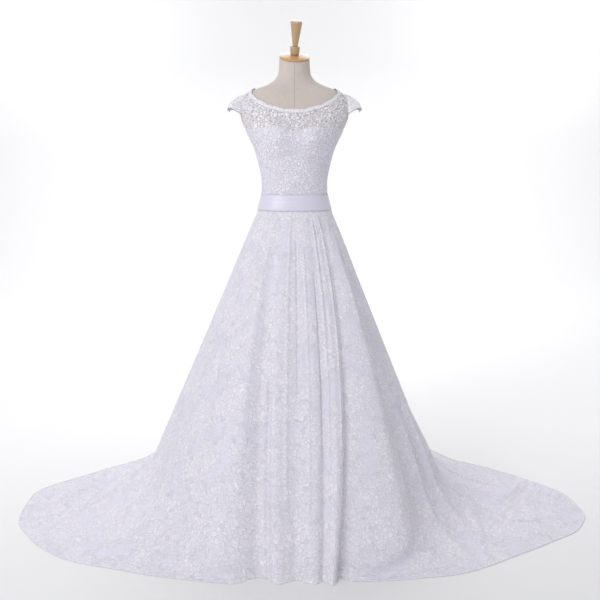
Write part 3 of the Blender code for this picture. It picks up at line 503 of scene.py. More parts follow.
class Tree:
    def __init__(self, name):
        self.material = bpy.data.materials.new(name)
        self.material.use_nodes = True
        self.nodes = self.material.node_tree.nodes
        self.links = self.material.node_tree.links
        self.shader = self.nodes["Principled BSDF"]

    def put(self, socket, value):
        if isinstance(value, Value):
            self.links.new(value.socket, socket)
        else:
            socket.default_value = value

    def maths(self, operation, *values, clamp=False):
        node = self.nodes.new("ShaderNodeMath")
        node.operation = operation
        node.use_clamp = clamp
        for socket, value in zip(node.inputs, values):
            self.put(socket, value)
        return Value(self, node.outputs[0])

    def vector(self, operation, *values, scale=None):
        node = self.nodes.new("ShaderNodeVectorMath")
        node.operation = operation
        for socket, value in zip(node.inputs, values):
            self.put(socket, value)
        if scale is not None:
            self.put(node.inputs["Scale"], scale)
        return Value(self, node.outputs["Value" if operation in ("LENGTH", "DISTANCE") else "Vector"])

    def flat(self):
        node = self.nodes.new("ShaderNodeUVMap")
        node.uv_map = "flat"
        return Value(self, node.outputs["UV"])

    def place(self):
        return Value(self, self.nodes.new("ShaderNodeTexCoord").outputs["Object"])

    def split(self, value):
        node = self.nodes.new("ShaderNodeSeparateXYZ")
        self.put(node.inputs[0], value)
        return [Value(self, output) for output in node.outputs]

    def join(self, *values):
        node = self.nodes.new("ShaderNodeCombineXYZ")
        for socket, value in zip(node.inputs, values):
            self.put(socket, value)
        return Value(self, node.outputs[0])

    def noise(self, where, scale, detail=2.0, roughness=0.5, colour=False):
        node = self.nodes.new("ShaderNodeTexNoise")
        self.put(node.inputs["Vector"], where)
        node.inputs["Scale"].default_value = scale
        node.inputs["Detail"].default_value = detail
        node.inputs["Roughness"].default_value = roughness
        return Value(self, node.outputs["Color" if colour else "Fac"])

    def cells(self, where, scale, randomness, feature="F1"):
        node = self.nodes.new("ShaderNodeTexVoronoi")
        node.voronoi_dimensions = "2D"
        node.feature = feature
        self.put(node.inputs["Vector"], where)
        node.inputs["Scale"].default_value = scale
        node.inputs["Randomness"].default_value = randomness
        return node

    def step(self, low, high, value):
        """Rises smoothly from 0 to 1 as the value goes from low to high."""
        node = self.nodes.new("ShaderNodeMapRange")
        node.interpolation_type = "SMOOTHSTEP"
        self.put(node.inputs["Value"], value)
        self.put(node.inputs["From Min"], low)
        self.put(node.inputs["From Max"], high)
        return Value(self, node.outputs[0])

    def mix(self, share, first, second):
        node = self.nodes.new("ShaderNodeMix")
        node.data_type = "RGBA"
        self.put(node.inputs["Factor"], share)
        self.put(node.inputs[6], first)
        self.put(node.inputs[7], second)
        return Value(self, node.outputs[2])

    def relief(self, height, distance, strength=1.0):
        node = self.nodes.new("ShaderNodeBump")
        node.inputs["Strength"].default_value = strength
        node.inputs["Distance"].default_value = distance
        self.put(node.inputs["Height"], height)
        self.put(self.shader.inputs["Normal"], Value(self, node.outputs[0]))

    def set(self, **values):
        for name, value in values.items():
            self.put(self.shader.inputs[name.replace("_", " ")], value)


def greatest(tree, first, *others):
    for other in others:
        first = tree.maths("MAXIMUM", first, other)
    return first


def turned_by(tree, x, y, angle):
    sine, cosine = tree.maths("SINE", angle), tree.maths("COSINE", angle)
    return x * cosine + y * sine, y * cosine - x * sine


def line_at(tree, value, width):
    """A soft line where the value crosses 0."""
    return tree.step(width, 0.4 * width, tree.maths("ABSOLUTE", value))


def lobes(tree, angle, count, power):
    return tree.maths("POWER", tree.maths("ABSOLUTE", tree.maths("COSINE", angle * (count / 2))), power)


def roses(tree, where, size, petals, spread, smallest, kept):
    """Roses on a jittered grid, each its own size and turn: how filled, how lined, and where one lies.
    Only the kept share of them is there."""
    node = tree.cells(where, 1 / size, spread)
    offset = tree.vector("SUBTRACT", where, Value(tree, node.outputs["Position"]))
    x, y, _ = tree.split(offset)
    red, green, blue = tree.split(Value(tree, node.outputs["Color"]))
    radius = tree.vector("LENGTH", offset)
    angle = tree.maths("ARCTAN2", y, x) + red * 6.28
    reach = (green * (1 - smallest) + smallest) * tree.step(kept + 0.01, kept, blue) * (size * 0.54)
    reach = tree.maths("MAXIMUM", reach, 0.00001)
    outer = lobes(tree, angle, petals, 1.0)
    inner = lobes(tree, angle + 0.7, petals - 1, 1.0)
    share = radius / ((outer * 0.30 + 0.70) * reach)
    within = radius / ((inner * 0.24 + 0.76) * reach * 0.52)
    fill = tree.step(1.02, 0.94, share)
    slits = tree.step(0.42, 0.22, outer)
    hearts = tree.step(0.50, 0.28, inner)
    petals_out = fill * (slits * -1.0 + 1.0) * tree.step(1.04, 1.22, within)
    petals_in = tree.step(0.98, 0.88, within) * (hearts * -1.0 + 1.0) * tree.step(0.40, 0.54, within)
    cloth = greatest(tree, petals_out, petals_in, tree.step(0.32, 0.22, within))
    rim = greatest(tree, line_at(tree, share - 0.90, 0.10), line_at(tree, within - 0.9, 0.14))
    return cloth, rim * cloth, tree.step(1.10, 1.00, share)


def leaves(tree, where, size, spread):
    """Pointed leaves turned every way, each bent, with a rib."""
    node = tree.cells(where, 1 / size, spread)
    offset = tree.vector("SUBTRACT", where, Value(tree, node.outputs["Position"]))
    x, y, _ = tree.split(offset)
    red, green, _ = tree.split(Value(tree, node.outputs["Color"]))
    x, y = turned_by(tree, x, y, red * 6.28)
    across = tree.maths("ABSOLUTE", y - x * x * (green * 60 - 30))
    along = tree.maths("ABSOLUTE", x) / (size * 0.66)
    width = (along * along * -1.0 + 1.0) * (size * 0.27)
    share = across / tree.maths("MAXIMUM", width, 0.0002)
    fill = tree.step(1.10, 0.90, share) * tree.step(1.0, 0.95, along)
    return fill * (line_at(tree, share - 0.1, 0.20) * -0.35 + 1.0), line_at(tree, share - 0.8, 0.25) * fill, fill


def cords(tree, where, size, spread, width):
    """Curling cords that join everything."""
    node = tree.cells(where, 1 / size, spread, "DISTANCE_TO_EDGE")
    return tree.step(width / size, 0.45 * width / size, Value(tree, node.outputs["Distance"]))


def net(tree, where, pitch, thread):
    """A fine diamond net."""
    x, y, _ = tree.split(where)
    lines = []
    for lean in (1, -1):
        wave = tree.maths("PINGPONG", (x + y * (0.62 * lean)) / pitch, 0.5)
        lines.append(tree.step(thread / pitch, 0.4 * thread / pitch, wave))
    return tree.maths("MAXIMUM", *lines)


def lace_pattern(tree, where, scale, drawn, quiet):
    """How closed the cloth is, and how much of a raised line it is. The more it is drawn, the paler are its
    flowers inside their outlines. The more it is quiet, the fewer sprays some stretches have."""
    where = tree.vector("SCALE", where, scale=1 / scale)
    way = tree.vector("SUBTRACT", tree.noise(where, 34.0, 1.5, colour=True), (0.5, 0.5, 0.5))
    soft = tree.vector("ADD", where, tree.vector("SCALE", way, scale=0.018))
    curly = tree.vector("ADD", where, tree.vector("SCALE", way, scale=0.034))
    large, large_line, in_large = roses(tree, soft, 0.047, 6, 0.85, 0.60, 1.0)
    small, small_line, in_small = roses(
        tree, tree.vector("ADD", soft, (0.013, 0.021, 0.0)), 0.023, 5, 0.80, 0.60, 0.55)
    leaf, leaf_line, in_leaf = leaves(tree, curly, 0.0190, 0.9)
    curl = cords(tree, curly, 0.0165, 0.95, 0.0019)
    away = in_large * -1.0 + 1.0
    free = away * (in_small * -1.0 + 1.0)
    bare = free * (in_leaf * -1.0 + 1.0)
    line = greatest(tree, large_line, small_line * away, leaf_line * free)
    cloth = greatest(tree, large, small * away, leaf * free)
    busy = tree.step(0.30, 0.56, tree.noise(where, 11.0, 1.5)) * quiet + (1 - quiet)
    line = tree.maths("MINIMUM", greatest(tree, line, curl * bare) * busy * 1.5, 1.0)
    cloth = greatest(tree, line, cloth * busy * (1 - drawn))
    return tree.maths("MINIMUM", cloth, 1.0), tree.maths("MINIMUM", line, 1.0)


LACE_TONE = (0.975, 0.95, 1.0, 1)
NET_TONE = (0.865, 0.845, 0.985, 1)


def make_lace(name, ground, filled, scale, drawn, quiet, relief):
    """Floral lace: matt raised flowers, leaves and cords on a fine net. The ground is how closed the net looks."""
    tree = Tree(name)
    where = tree.flat()
    cloth, line = lace_pattern(tree, where, scale, drawn, quiet)
    mesh = net(tree, where, 0.0021, 0.00034)
    threads = tree.maths("ABSOLUTE", tree.maths("SINE", tree.split(where)[1] * 5200))
    alpha = greatest(tree, cloth * filled, mesh * 0.8, ground)
    tree.set(Base_Color=tree.mix(cloth, NET_TONE, LACE_TONE),
             Roughness=0.78, Alpha=alpha, Sheen_Weight=0.12, Sheen_Roughness=0.5)
    tree.set(Specular_IOR_Level=0.25)
    tree.relief(cloth * 0.45 + line * 0.55 + threads * cloth * 0.12 + mesh * 0.15,
                relief, 0.85)
    return tree.material


def make_edging(name):
    """Scalloped edging: a solid band with a row of eyelets and a corded edge."""
    tree = Tree(name)
    where = tree.flat()
    cloth, line, _ = roses(tree, where, 0.0115, 5, 0.30, 0.85, 1.0)
    node = tree.cells(where, 1 / 0.0042, 0.45)
    distance = Value(tree, node.outputs["Distance"])
    stitched = tree.step(0.20, 0.34, distance)
    cover = greatest(tree, cloth, line, stitched)
    tree.set(Base_Color=tree.mix(cover, (0.74, 0.73, 0.82, 1), (0.93, 0.915, 0.985, 1)),
             Roughness=0.75, Alpha=greatest(tree, cover, 0.35), Sheen_Weight=0.12)
    tree.set(Specular_IOR_Level=0.25)
    tree.relief(cloth * 0.4 + line * 0.6 + stitched * 0.35, 0.0009, 0.8)
    return tree.material


def make_satin(name, colour, shade, roughness, direction):
    """Satin: long floats along one direction, a soft broken gloss, and faint slubs."""
    tree = Tree(name)
    where = tree.flat()
    stretch = (22.0, 900.0, 1.0) if direction == "across" else (900.0, 22.0, 1.0)
    floats = tree.noise(tree.vector("MULTIPLY", where, stretch), 1.0, 2.0)
    clouds = tree.noise(where, 14.0, 2.0)
    tree.set(Base_Color=tree.mix(clouds, shade, colour),
             Roughness=floats * 0.10 + (roughness - 0.05), Sheen_Weight=0.25, Sheen_Roughness=0.35)
    tree.set(Specular_IOR_Level=0.55)
    tree.relief(floats + clouds * 0.5, 0.00025, 0.35)
    return tree.material


def make_linen(name):
    """Plain-woven linen with slubs and a darker seam line."""
    tree = Tree(name)
    where = tree.flat()
    x, y, _ = tree.split(where)
    warp = tree.maths("ABSOLUTE", tree.maths("SINE", x * (math.pi / 0.0011)))
    weft = tree.maths("ABSOLUTE", tree.maths("SINE", y * (math.pi / 0.0011)))
    slub_across = tree.noise(tree.vector("MULTIPLY", where, (40.0, 900.0, 1.0)), 1.0, 2.0)
    slub_down = tree.noise(tree.vector("MULTIPLY", where, (900.0, 40.0, 1.0)), 1.0, 2.0)
    clouds = tree.noise(where, 9.0, 3.0)
    slubs = (slub_across + slub_down) * 0.5
    seam = tree.step(0.0011, 0.0004, tree.maths("ABSOLUTE", x))
    shade = tree.maths("MULTIPLY_ADD", slubs, 0.9, clouds * 0.35 - 0.15, clamp=True)
    tone = tree.mix(shade, (0.42, 0.37, 0.345, 1), (0.76, 0.69, 0.66, 1))
    tree.set(Base_Color=tree.mix(seam * 0.55, tone, (0.25, 0.21, 0.185, 1)), Roughness=0.92,
             Sheen_Weight=0.15)
    tree.set(Specular_IOR_Level=0.2)
    tree.relief(warp * 0.4 + weft * 0.4 + slubs - seam * 2.0, 0.0005, 0.6)
    return tree.material


def make_wood(name, light, dark, stretch):
    """Varnished wood with fine grain."""
    tree = Tree(name)
    where = tree.vector("MULTIPLY", tree.place(), stretch)
    grain = tree.noise(where, 1.0, 5.0, 0.62)
    bands = tree.maths("ABSOLUTE", tree.maths("SINE", grain * 16 + tree.noise(tree.place(), 30.0) * 4))
    pores = tree.step(0.62, 0.72, tree.noise(tree.vector("SCALE", where, scale=5.0), 1.0, 2.0))
    tree.set(Base_Color=tree.mix(tree.maths("MULTIPLY_ADD", bands, 0.55, pores * 0.3, clamp=True), light, dark),
             Roughness=grain * 0.15 + 0.30, Coat_Weight=0.35, Coat_Roughness=0.22)
    tree.relief(grain * 0.5 - pores * 0.4, 0.0004, 0.4)
    return tree.material


def make_steel(name):
    tree = Tree(name)
    speck = tree.noise(tree.place(), 900.0, 2.0)
    tree.set(Base_Color=tree.mix(speck, (0.20, 0.20, 0.21, 1), (0.27, 0.27, 0.28, 1)), Metallic=0.3,
             Roughness=speck * 0.12 + 0.38)
    tree.relief(speck, 0.0002, 0.4)
    return tree.material


LACE = make_lace("lace_on_satin", 0.84, 0.98, 1.15, 0.10, 0.65, 0.0019)
YOKE_LACE = make_lace("lace_sheer", 0.20, 0.97, 1.0, 0.08, 0.20, 0.0014)
EDGING = make_edging("lace_edging")
SATIN = make_satin("satin_lining", (0.88, 0.865, 0.98, 1), (0.82, 0.805, 0.93, 1), 0.46, "down")
BELT_SATIN = make_satin("satin_belt", (0.685, 0.67, 0.795, 1), (0.63, 0.61, 0.745, 1), 0.34, "across")
LINEN = make_linen("linen_cover")
CAP_WOOD = make_wood("wood_cap", (0.60, 0.36, 0.17, 1), (0.42, 0.22, 0.09, 1), (260.0, 30.0, 260.0))
FINIAL_WOOD = make_wood("wood_finial", (0.56, 0.38, 0.22, 1), (0.38, 0.24, 0.12, 1), (300.0, 300.0, 26.0))
STEEL = make_steel("steel_painted")


# The dress form


def make_form():
    angles = steps_between(-180, 180, 128)[:-1]
    heights = steps_between(FORM_FLOOR, NECK_TOP, 150)
    grid = body(angles[:, None], heights[None, :])
    columns, rows = grid.shape[:2]
    faces = grid_faces(columns, rows, closed_columns=True)
    faces.append(tuple(column * rows for column in range(columns))[::-1])
    faces.append(tuple(column * rows + rows - 1 for column in range(columns)))
    spots = np.stack(np.meshgrid(angles, heights, indexing="ij"), axis=-1).reshape(-1, 2)
    flat = laid_out(spots[:, 0], spots[:, 1], 0.0, FORM_FLOOR)
    return add_piece("form_cover", grid.reshape(-1, 3), faces, flat, LINEN, ["form_torso"])


def turned_piece(name, profile, seat, lean, material, replaced, steps=64):
    """A turned piece: its profile is radius and height, from the top down."""
    profile = np.array(profile)
    turns = 2 * math.pi * np.arange(steps) / steps
    grid = np.stack([
        profile[None, :, 0] * np.cos(turns)[:, None],
        profile[None, :, 0] * np.sin(turns)[:, None],
        np.repeat(profile[None, :, 1], steps, axis=0),
    ], axis=-1)
    matrix = np.array(lean.to_matrix())
    grid = grid @ matrix.T + np.array(seat)
    flat = np.stack([np.repeat(turns[:, None] * 0.02, len(profile), 1),
                     np.repeat(profile[None, :, 1], steps, 0)], axis=-1)
    faces = [face[::-1] for face in grid_faces(steps, len(profile), closed_columns=True)]
    return add_piece(name, grid.reshape(-1, 3), faces, flat.reshape(-1, 2), material, replaced)


def rounded_profile(corners, radius, parts=5):
    """A turned profile with its corners rounded, closed at the axis at both ends."""
    made = [corners[0]]
    for before, here, after in zip(corners, corners[1:], corners[2:]):
        before, here, after = np.array(before), np.array(here), np.array(after)
        back, ahead = before - here, after - here
        back_length, ahead_length = np.linalg.norm(back), np.linalg.norm(ahead)
        reach = min(radius, back_length * 0.45, ahead_length * 0.45)
        start, end = here + back / back_length * reach, here + ahead / ahead_length * reach
        for k in range(parts + 1):
            t = k / parts
            made.append(tuple((1 - t) ** 2 * start + 2 * t * (1 - t) * here + t * t * end))
    made.append(corners[-1])
    return [(max(radius, 0.00001), height) for radius, height in made]


def make_wood_fittings():
    lean = Euler((NECK_LEAN, NECK_ROLL, 0))
    axis = np.array(lean.to_matrix() @ Vector((0, 0, 1)))
    seat = np.array((0, 0, NECK_TOP)) + axis * SEAM_GAP
    cap = [(0, CAP_RIM + CAP_DOME), (0.45 * CAP_RADIUS, CAP_RIM + 0.8 * CAP_DOME),
           (0.85 * CAP_RADIUS, CAP_RIM + 0.3 * CAP_DOME), (CAP_RADIUS, CAP_RIM),
           (CAP_RADIUS, 0.001), (0.97 * CAP_RADIUS, 0), (0, 0)]
    collar_seat = CAP_RIM + CAP_DOME + SEAM_GAP
    collar = [(0, COLLAR_HEIGHT), (0.86 * COLLAR_RADIUS, COLLAR_HEIGHT), (COLLAR_RADIUS, 0.92 * COLLAR_HEIGHT),
              (0.94 * COLLAR_RADIUS, 0), (0, 0)]
    finial_seat = collar_seat + COLLAR_HEIGHT + SEAM_GAP
    finial = [(0, FINIAL_HEIGHT), (0.86 * FINIAL_TOP_RADIUS, 0.985 * FINIAL_HEIGHT),
              (FINIAL_TOP_RADIUS, 0.94 * FINIAL_HEIGHT), (0.74 * FINIAL_TOP_RADIUS, 0.5 * FINIAL_HEIGHT),
              (FINIAL_FOOT_RADIUS, 0.06 * FINIAL_HEIGHT), (FINIAL_FOOT_RADIUS, 0), (0, 0)]
    turned_piece("neck_cap_turned", rounded_profile(cap, 0.004), seat, lean, CAP_WOOD, ["neck_cap"], 96)
    turned_piece("collar_turned", rounded_profile(collar, 0.003), seat + axis * collar_seat, lean, FINIAL_WOOD,
                 ["collar"])
    turned_piece("finial_turned", rounded_profile(finial, 0.004), seat + axis * finial_seat, lean, FINIAL_WOOD,
                 ["finial"])


def paint_stand():
    for name in ("base", "pole"):
        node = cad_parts[name]
        node.data.materials.clear()
        node.data.materials.append(STEEL)


# The bodice


def neckline(angle):
    facing = np.abs(np.sin(np.radians(angle))) ** NECK_ROUNDNESS
    low = np.where(np.cos(np.radians(angle)) > 0, FRONT_NECK, BACK_NECK)
    return low + (SHOULDER_NECK - low) * facing


def sweetheart(angle):
    notch = NOTCH_DEPTH * bump(angle / NOTCH_HALF_ANGLE)
    return CUP_EDGE - notch - (CUP_EDGE - SIDE_EDGE) * (np.abs(angle) / 90) ** 4


def armhole_arc(centre, start, end, steps):
    turns = np.radians(np.linspace(start, end, steps + 1))
    return list(zip(centre + ARMHOLE_HALF_ANGLE * np.cos(turns), ARMHOLE_HEIGHT + ARMHOLE_HALF_HEIGHT * np.sin(turns)))


SEAM_ANGLE = 0.06


def bodice_outline(left, right):
    outline = [(left + SEAM_ANGLE, WAIST_SEAM + SEAM_GAP), (right - SEAM_ANGLE, WAIST_SEAM + SEAM_GAP)]
    if right % 180 == ARMHOLE_ANGLE:
        outline += [(min(a, right - SEAM_ANGLE), h) for a, h in armhole_arc(right, -90, -270, 48)]
    edge = np.linspace(right - SEAM_ANGLE, left + SEAM_ANGLE, 80)
    outline += list(zip(edge, neckline(edge)))
    if left % 180 == ARMHOLE_ANGLE:
        outline += [(max(a, left + SEAM_ANGLE), h) for a, h in armhole_arc(left, 90, -90, 48)]
    return outline


def make_bodice():
    made = {}
    for name, left, right, middle in (
        ("bodice_lace_front", -90, 90, 0.0), ("bodice_lace_back_right", 90, 180, 180.0),
        ("bodice_lace_back_left", 180, 270, 180.0),
    ):
        panel = body_panel(name + "_cloth", bodice_outline(left, right), LACE_OUT, middle, YOKE_LACE, [name])
        made[name] = panel
    front = np.linspace(90 - SEAM_ANGLE, -90 + SEAM_ANGLE, 90)
    outline = [(-90 + SEAM_ANGLE, WAIST_SEAM), (90 - SEAM_ANGLE, WAIST_SEAM)] + list(zip(front, sweetheart(front)))
    lining = body_panel("bodice_lining_front_cloth", outline, LINING_OUT, 0.0, SATIN,
                        ["bodice_lining_front"], 0.007)
    declare(lining)
    for name, left, right in (("bodice_lining_back_right", 90, 180), ("bodice_lining_back_left", 180, 270)):
        low, high = left + SEAM_ANGLE, right - SEAM_ANGLE
        edges = np.linspace(high, low, 30)
        outward = np.abs(edges - 180) / 90
        tops = BACK_LINING_EDGE + (SIDE_EDGE - BACK_LINING_EDGE) * outward
        outline = [(low, WAIST_SEAM), (high, WAIST_SEAM)] + list(zip(edges, tops))
        lining = body_panel(name + "_cloth", outline, LINING_OUT, 180.0, SATIN, [name], 0.007)
        declare(lining)
    return made


def make_trims():
    for name, panel, left, right, scallops in (
        ("neck_trim_front", "bodice_lace_front", -90, 90, FRONT_SCALLOPS),
        ("neck_trim_back_right", "bodice_lace_back_right", 90, 180, BACK_SCALLOPS),
        ("neck_trim_back_left", "bodice_lace_back_left", 180, 270, BACK_SCALLOPS),
    ):
        angles = np.linspace(left + SEAM_ANGLE, right - SEAM_ANGLE, scallops * 14 + 1)
        edge = neckline(angles)
        slopes = np.array([stretch_up(a, e - 0.008) for a, e in zip(angles, edge)])
        wave = np.abs(np.sin(math.pi * (angles - left) / (right - left) * scallops))
        top = edge + SCALLOP_RISE * wave ** 0.7 / slopes
        low = edge - (TRIM_WIDTH - 0.002 * wave) / slopes
        shares = steps_between(0, 1, 7)
        heights = low[:, None] + (top - low)[:, None] * shares
        puff = TRIM_OUT + 0.0005 * np.sin(math.pi * shares)[None, :]
        grid = body(np.repeat(angles[:, None], len(shares), 1), heights, puff)
        across = lengths_along(grid, 0)
        flat = np.stack([across, lengths_along(grid, 1)], axis=-1)
        band = loft(name + "_cloth", grid, flat, EDGING, "lace", [name])
        path = body(angles, top - 0.0006 / slopes, TRIM_OUT)
        rim = tube(name + "_cord", path, 0.0009, EDGING, "lace", squash=0.8)
        declare(band)


# The cap sleeves


def make_sleeves():
    for name, side in (("cap_sleeve_left", -1), ("cap_sleeve_right", 1)):
        turns = steps_between(0, math.pi, SLEEVE_SCALLOPS * 12)
        lift = np.sin(turns)
        inset = SLEEVE_GAP + 0.0017 * np.abs(np.cos(turns))
        centre = body_skin(np.array(side * ARMHOLE_ANGLE), np.array(ARMHOLE_HEIGHT))
        across = np.linalg.norm(body_skin(np.array(side * ARMHOLE_ANGLE + 1.0), np.array(ARMHOLE_HEIGHT)) - centre)
        root = body(side * ARMHOLE_ANGLE + (ARMHOLE_HALF_ANGLE - inset / across) * np.cos(turns),
                    ARMHOLE_HEIGHT + (ARMHOLE_HALF_HEIGHT - inset) * lift, LACE_OUT)
        facing = np.sign(root[:, 1]) * np.abs(np.cos(turns))
        aim = np.stack([side * np.cos(SLEEVE_DROP * lift), SLEEVE_FLARE * facing, -math.sin(SLEEVE_DROP) * lift], 1)
        aim /= np.linalg.norm(aim, axis=1, keepdims=True)
        wave = np.abs(np.sin(SLEEVE_SCALLOPS * turns))
        length = SLEEVE_END_LENGTH + SLEEVE_LENGTH * lift ** SLEEVE_TAPER - SLEEVE_SCALLOP_RISE * (1 - wave ** 0.7)
        arch = np.array((side * math.sin(SLEEVE_DROP), 0, math.cos(SLEEVE_DROP)))
        shares = steps_between(0, 1, 18)
        bow = 4 * shares * (1 - shares)
        grid = root[:, None] + (length[:, None] * shares)[..., None] * aim[:, None]
        grid = grid + (SLEEVE_BULGE * lift[:, None] * bow)[..., None] * arch
        puckers = 0.0012 * np.sin(turns * 23)[:, None] * bump((shares - 0.12) / 0.16)[None, :] * lift[:, None]
        grid = grid + puckers[..., None] * arch
        across = lengths_along(grid, 0)
        across = across - across[len(turns) // 2]
        flat = np.stack([across, lengths_along(grid, 1)], axis=-1)
        cap = loft(name + "_cloth", grid, flat, YOKE_LACE, "lace", [name])
        edge = tube(name + "_cord", grid[:, -1], 0.0010, EDGING, "lace", squash=0.8)
        band = edging_band(name + "_edging", grid, turns)
        seam = tube(name + "_seam", root, 0.0008, EDGING, "lace", squash=0.8)
        declare(cap)


def edging_band(name, grid, turns):
    """A band of edging laid on the outer end of a sleeve."""
    outer = grid[:, -5:]
    across = np.gradient(outer, axis=0)
    along = np.gradient(outer, axis=1)
    normal = np.cross(across, along)
    normal /= np.maximum(np.linalg.norm(normal, axis=2, keepdims=True), 1e-9)
    normal *= np.sign(normal[:, :, 2:3] + 1e-6)
    raised = outer + normal * 0.0006
    flat = np.stack([lengths_along(raised, 0), lengths_along(raised, 1)], axis=-1)
    return loft(name, raised, flat, EDGING, "lace")


# The belt and the closure


def belt_rows():
    """The belt's cross-section: share of its height from the bottom, and how far it stands out of its inner side."""
    shares = steps_between(0, 1, 22)
    out = BELT_WALL * np.clip(np.sin(math.pi * shares), 0, 1) ** 0.28 * 0.9
    out -= 0.0009 * bump((shares - 0.885) / 0.022)
    out += 0.0005 * bump((shares - 0.94) / 0.04)
    return shares, out


def belt_ring(angles, extra, creased):
    shares, out = belt_rows()
    heights = BELT_BOTTOM + (BELT_TOP - BELT_BOTTOM) * shares
    inner = np.interp(heights, (BELT_BOTTOM, WAIST_SEAM, BELT_TOP), (BELT_IN, BELT_IN, BELT_TOP_IN)) + extra
    outer_grid = []
    for angle in angles:
        ripple = 0.0
        for centre, spread, height, width, depth in creased:
            ripple = ripple + depth * bump((angle - centre) / spread) * bump((shares - height) / width)
        outer_grid.append(body(angle, heights, inner + out + ripple))
    outer = np.array(outer_grid)
    back = np.array([body(angle, heights[::-1], inner[::-1] + 0.0001) for angle in angles])
    return np.concatenate([outer, back], axis=1)


BELT_CREASES = [
    (-52, 26, 0.30, 0.05, -0.0005), (-18, 30, 0.62, 0.06, -0.0004), (24, 22, 0.40, 0.05, -0.0005),
    (58, 18, 0.66, 0.05, -0.0006), (84, 10, 0.25, 0.05, -0.0007), (-86, 10, 0.70, 0.05, -0.0007),
    (128, 22, 0.45, 0.06, -0.0005), (-130, 24, 0.35, 0.05, -0.0005), (160, 14, 0.72, 0.05, -0.0005),
]


def make_belt():
    angles = steps_between(-180, 180, 200)[:-1]
    grid = belt_ring(angles, 0.0, BELT_CREASES)
    across = np.repeat((angles * math.pi / 180 * 0.12)[:, None], grid.shape[1], 1)
    flat = np.stack([across, lengths_along(grid, 1)], axis=-1)
    ring = loft("belt_cloth", grid, flat, BELT_SATIN, "satin", ["belt"], closed_columns=True, closed_rows=True)
    angles = steps_between(157.5, 178, 24)
    grid = belt_ring(angles, BELT_WALL + 1.5 * SEAM_GAP, [(170, 4, 0.5, 0.3, -0.0003)])
    across = np.repeat((angles * math.pi / 180 * 0.12)[:, None], grid.shape[1], 1)
    flat = np.stack([across, lengths_along(grid, 1)], axis=-1)
    end = loft("belt_end_cloth", grid, flat, BELT_SATIN, "satin", ["belt_end"], closed_rows=True)


def make_closure():
    top = float(neckline(180)) - TRIM_WIDTH - 0.0008
    bottom = BELT_TOP + 0.0008
    angles = steps_between(180 - PLACKET_HALF_ANGLE, 180 + PLACKET_HALF_ANGLE, 16)
    heights = steps_between(bottom, top, 90)
    edge = np.abs(angles - 180) / PLACKET_HALF_ANGLE
    out = PLACKET_OUT + 0.0006 * (1 - edge ** 6)
    grid = body(angles[:, None], heights[None, :], out[:, None] * np.ones((1, len(heights))))
    flat = np.stack([lengths_along(grid, 0), lengths_along(grid, 1)], axis=-1)
    strip = loft("back_placket_cloth", grid, flat, EDGING, "lace", ["back_placket"])
    declare(strip)
    profile = [(0, BUTTON_HEIGHT), (0.45 * BUTTON_RADIUS, 0.94 * BUTTON_HEIGHT), (0.8 * BUTTON_RADIUS, 0.72 * BUTTON_HEIGHT),
               (BUTTON_RADIUS, 0.38 * BUTTON_HEIGHT), (0.9 * BUTTON_RADIUS, 0), (0, 0)]
    for k in range(BUTTONS):
        height = BUTTON_TOP - BUTTON_PITCH * k
        seat = body(180.0, height, BUTTON_SEAT)
        out = Vector(body(180.0, height, 1.0) - body(180.0, height))
        lean = out.to_track_quat("Z", "Y")
        name = f"button_{k + 1:02d}"
        turned_piece(name + "_covered", rounded_profile(profile, 0.0009, 3), seat, lean, SATIN, [name], 32)


# The skirt


def fall_line(angle):
    azimuth = float(HEM_AZIMUTH(angle))
    reach = float(HEM_REACH(azimuth))
    foot = min(float(FOOT_REACH(azimuth)), reach)
    waist, hip = body(angle, WAIST_SEAM, SKIRT_OUT), body(angle, BELT_BOTTOM, SKIRT_OUT)
    start = (math.hypot(waist[0], waist[1]), WAIST_SEAM - SEAM_GAP / 2)
    bend = (math.hypot(hip[0], hip[1]) + BEND_OUT, BELT_BOTTOM - BEND_DROP)
    sweep = SWEEP_SHARE * min(reach - foot, LONGEST_SWEEP)
    length = math.hypot(foot - bend[0], bend[1])
    lift = min(LIFT_OF_SWEEP * sweep, LIFT_OF_FALL * length)
    begin = (foot - lift * (foot - bend[0]) / length, lift * bend[1] / length)
    shares = np.linspace(0, 1, 25)[1:, None]
    straight = np.array(bend) + (np.array(begin) - np.array(bend)) * shares
    curve = (1 - shares) ** 2 * np.array(begin) + 2 * shares * (1 - shares) * np.array((foot, 0.0))
    curve = curve + shares ** 2 * np.array((foot + sweep, 0.0))
    below = np.concatenate([[bend], straight, curve, [(max(reach, foot + sweep + 1e-6), 0.0)]])
    return start, below, azimuth


def ripple_height(angle, shares, reach):
    total = np.zeros(len(shares))
    for ripple in RIPPLES:
        along = (angle - ripple.angle) / ripple.half_length
        middle = ripple.share + ripple.slant * 0.012 * along
        total += ripple.height * bump(along) * bump((shares - middle) / ripple.half_width)
    return total


